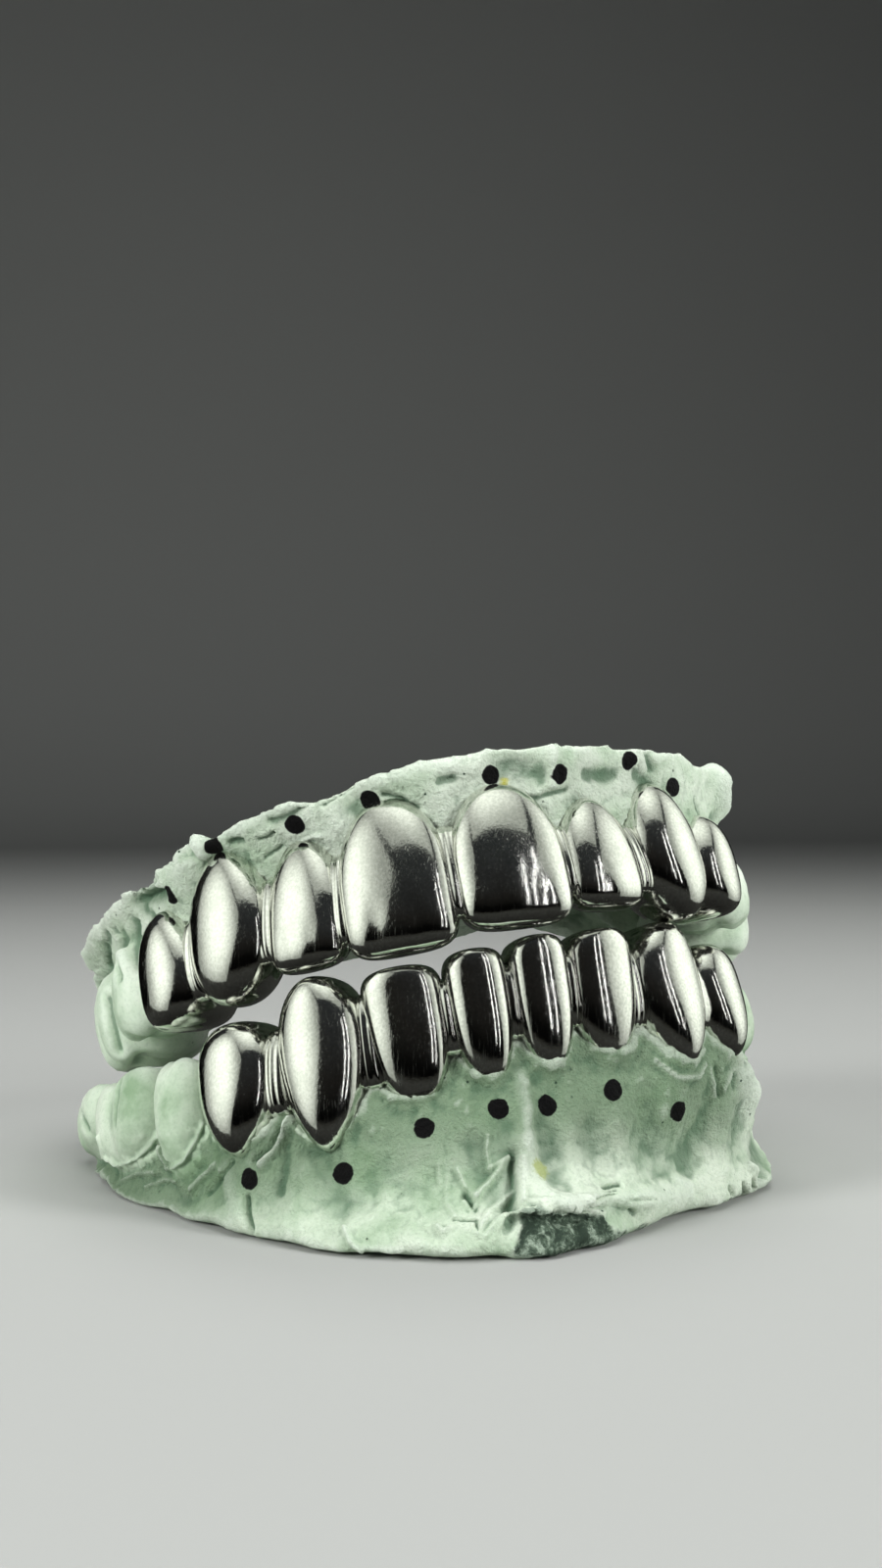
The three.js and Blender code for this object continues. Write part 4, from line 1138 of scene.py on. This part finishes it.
# %% [markdown]
# ## The studio
# Polished metal shows its room more than itself. The caps stand in a tent of three large lit walls, left,
# right and above, and the side where the camera stands is open and dark. Each cap so gets bright flanks,
# a bright upper end and a dark middle. A wall is brightest in its middle and fades to its rim, which
# gives the metal its soft shading. Two narrow strips in the open side draw the fine upright lines. Floor
# and backdrop are hidden from reflections, as black velvet would be.

# %% Floor and backdrop
velvet = 0.9  # roughness of the floor and of the walls


def card(name, points, hex_code):
    """A smooth sheet through pairs of points, in millimetres."""
    mesh = bpy.data.meshes.new(name)
    faces = [(i, i + 1, i + 3, i + 2) for i in range(0, len(points) - 2, 2)]
    mesh.from_pydata([Vector(p) * mm for p in points], [], faces)
    mesh.shade_smooth()
    made = bpy.data.objects.new(name, mesh)
    bpy.context.scene.collection.objects.link(made)
    material, _, skin = new_material(name)
    skin.inputs["Base Color"].default_value = colour(hex_code)
    skin.inputs["Roughness"].default_value = velvet
    mesh.materials.append(material)
    made.visible_glossy = False
    return made


half_width = 2500
sweep = [(-1500, 0), (900, 0), (1000, 25), (1080, 100), (1120, 220), (1130, 400), (1130, 2200)]
card("pale_sweep", [(x, y, z) for y, z in sweep for x in (-half_width, half_width)], "#a9aba8")
print("sweep, mm deep and high:", sweep[-1][0] - sweep[0][0], sweep[-1][1])


# %% Tent and lamps
def face_towards(thing, at, aim):
    """Puts a lamp or a wall at a point and turns its front towards another, in millimetres."""
    thing.location = Vector(at) * mm
    thing.rotation_mode = "QUATERNION"
    thing.rotation_quaternion = (Vector(aim) * mm - thing.location).to_track_quat("-Z", "Y")


def soft_panel(name, at, aim, width, height, radiance):
    """An area light whose power gives its face the radiance asked for."""
    light = bpy.data.lights.new(name, "AREA")
    light.shape = "RECTANGLE"
    light.size, light.size_y = width * mm, height * mm
    light.energy = radiance * math.pi * light.size * light.size_y
    lamp = bpy.data.objects.new(name, light)
    face_towards(lamp, at, aim)
    bpy.context.scene.collection.objects.link(lamp)
    return lamp


def tent_wall(name, at, aim, width, height, radiance, at_rim, lean):
    """A lit wall that only metal mirrors, brightest in its middle, where the lamp behind it shines."""
    corners = [(x, y, 0) for y in (-height / 2, height / 2) for x in (-width / 2, width / 2)]
    wall = card(name, corners, "#000000")
    face_towards(wall, at, aim)
    wall.rotation_quaternion = wall.rotation_quaternion @ Quaternion((0, 0, 1), math.radians(lean))
    wall.visible_glossy = True
    wall.visible_camera = wall.visible_diffuse = wall.visible_shadow = False
    tree = wall.data.materials[0].node_tree
    skin = tree.nodes["Principled BSDF"]
    place = add(tree, "TexCoord").outputs["Object"]
    to_rim = (2 / (width * mm), 2 / (height * mm), 0)
    place = add(tree, "Mapping", Vector=place, Scale=to_rim).outputs["Vector"]
    far = add(tree, "VectorMath", {"operation": "LENGTH"}, _0=place).outputs["Value"]
    eased = {"interpolation_type": "SMOOTHSTEP"}
    glow = add(tree, "MapRange", eased, _0=far, _1=0.1, _2=1.15, _3=radiance, _4=at_rim).outputs[0]
    tree.links.new(glow, skin.inputs["Emission Strength"])
    skin.inputs["Emission Color"].default_value = colour("#f3faee")
    skin.inputs["Specular IOR Level"].default_value = 0.0


# Each one: where it stands, what it faces, its width and height, and its radiance. A wall has the
# radiance of its middle and of its rim, and how many degrees it leans. Stone swallows the light that
# metal throws back, so it has lamps of its own, which the metal doesn't mirror.
walls = {
    "tent_left": ((-360, -30, 150), (0, -30, 60), 540, 620, 1.5, 0.42, -14),
    "tent_right": ((360, -20, 150), (0, -10, 60), 620, 620, 1.5, 0.42, 14),
    "tent_roof": ((-20, -30, 460), (-20, -30, 0), 560, 620, 1.3, 0.45, 0),
}
strips = {
    "near_strip": ((130, -330, 150), (0, 0, 30), 8, 260, 4.5),
    "far_strip": ((205, -300, 150), (0, 0, 30), 12, 300, 3.5),
}
stone_lamps = {
    "stone_key": ((310, -330, 190), (0, 0, 15), 140, 140, 28.0),
    "stone_side": ((-380, -190, 200), (0, 0, 15), 150, 150, 24.0),
    "stone_top": ((0, -60, 460), (0, 0, 15), 420, 420, 2.6),
    "stone_back": ((60, 200, 400), (0, 0, 15), 160, 160, 6.0),
}
for name, wall in walls.items():
    tent_wall(name, *wall)
for name, panel in strips.items():
    soft_panel(name, *panel).visible_diffuse = False
for name, panel in stone_lamps.items():
    soft_panel(name, *panel).visible_glossy = False
print("walls, strips and stone lamps:", len(walls), len(strips), len(stone_lamps))

# %% [markdown]
# ## What the dark parts reflect
# A black reflection is never plain black in a photograph. Below the horizon lies the grey table, with a
# black band where it ends, and above that a dark room with brown and blue things in it. The world shows
# just that, by how high a ray points and a little noise, and is too dim to light the stone.

# %% The room
world = bpy.data.worlds.new("dim_room")
bpy.context.scene.world = world
world.use_nodes = True
room = world.node_tree
ray = add(room, "TexCoord").outputs["Generated"]
height = add(room, "SeparateXYZ", Vector=ray).outputs["Z"]
upright = add(room, "Mapping", Vector=ray, Scale=(1.0, 1.0, 0.25)).outputs["Vector"]
things = add(room, "TexNoise", Vector=upright, Scale=6.0, Detail=4.0, Roughness=0.65).outputs["Fac"]
wavy = add(room, "Math", times_plus, _0=things, _1=0.08, _2=height).outputs[0]
level = add(room, "MapRange", _0=wavy, _1=-0.96, _2=1.04).outputs[0]
bands = [
    (0.00, "#262624"),
    (0.33, "#40413e"),
    (0.38, "#33332f"),
    (0.41, "#040404"),
    (0.52, "#0b0b0a"),
    (0.66, "#232220"),
    (1.00, "#3a3e40"),
]
dark = add(room, "ValToRGB", stops=bands, Fac=level).outputs["Color"]
blots = [(0.36, "#1a2836"), (0.5, "#808080"), (0.64, "#3d3328")]
blots = add(room, "ValToRGB", stops=blots, Fac=things).outputs["Color"]
overlay = {"data_type": "RGBA", "blend_type": "OVERLAY"}
mixed = add(room, "Mix", overlay, _0=0.35, _6=dark, _7=blots).outputs[2]
back = room.nodes["Background"]
room.links.new(mixed, back.inputs["Color"])
back.inputs["Strength"].default_value = 1.0
print("bands of the room:", len(bands))
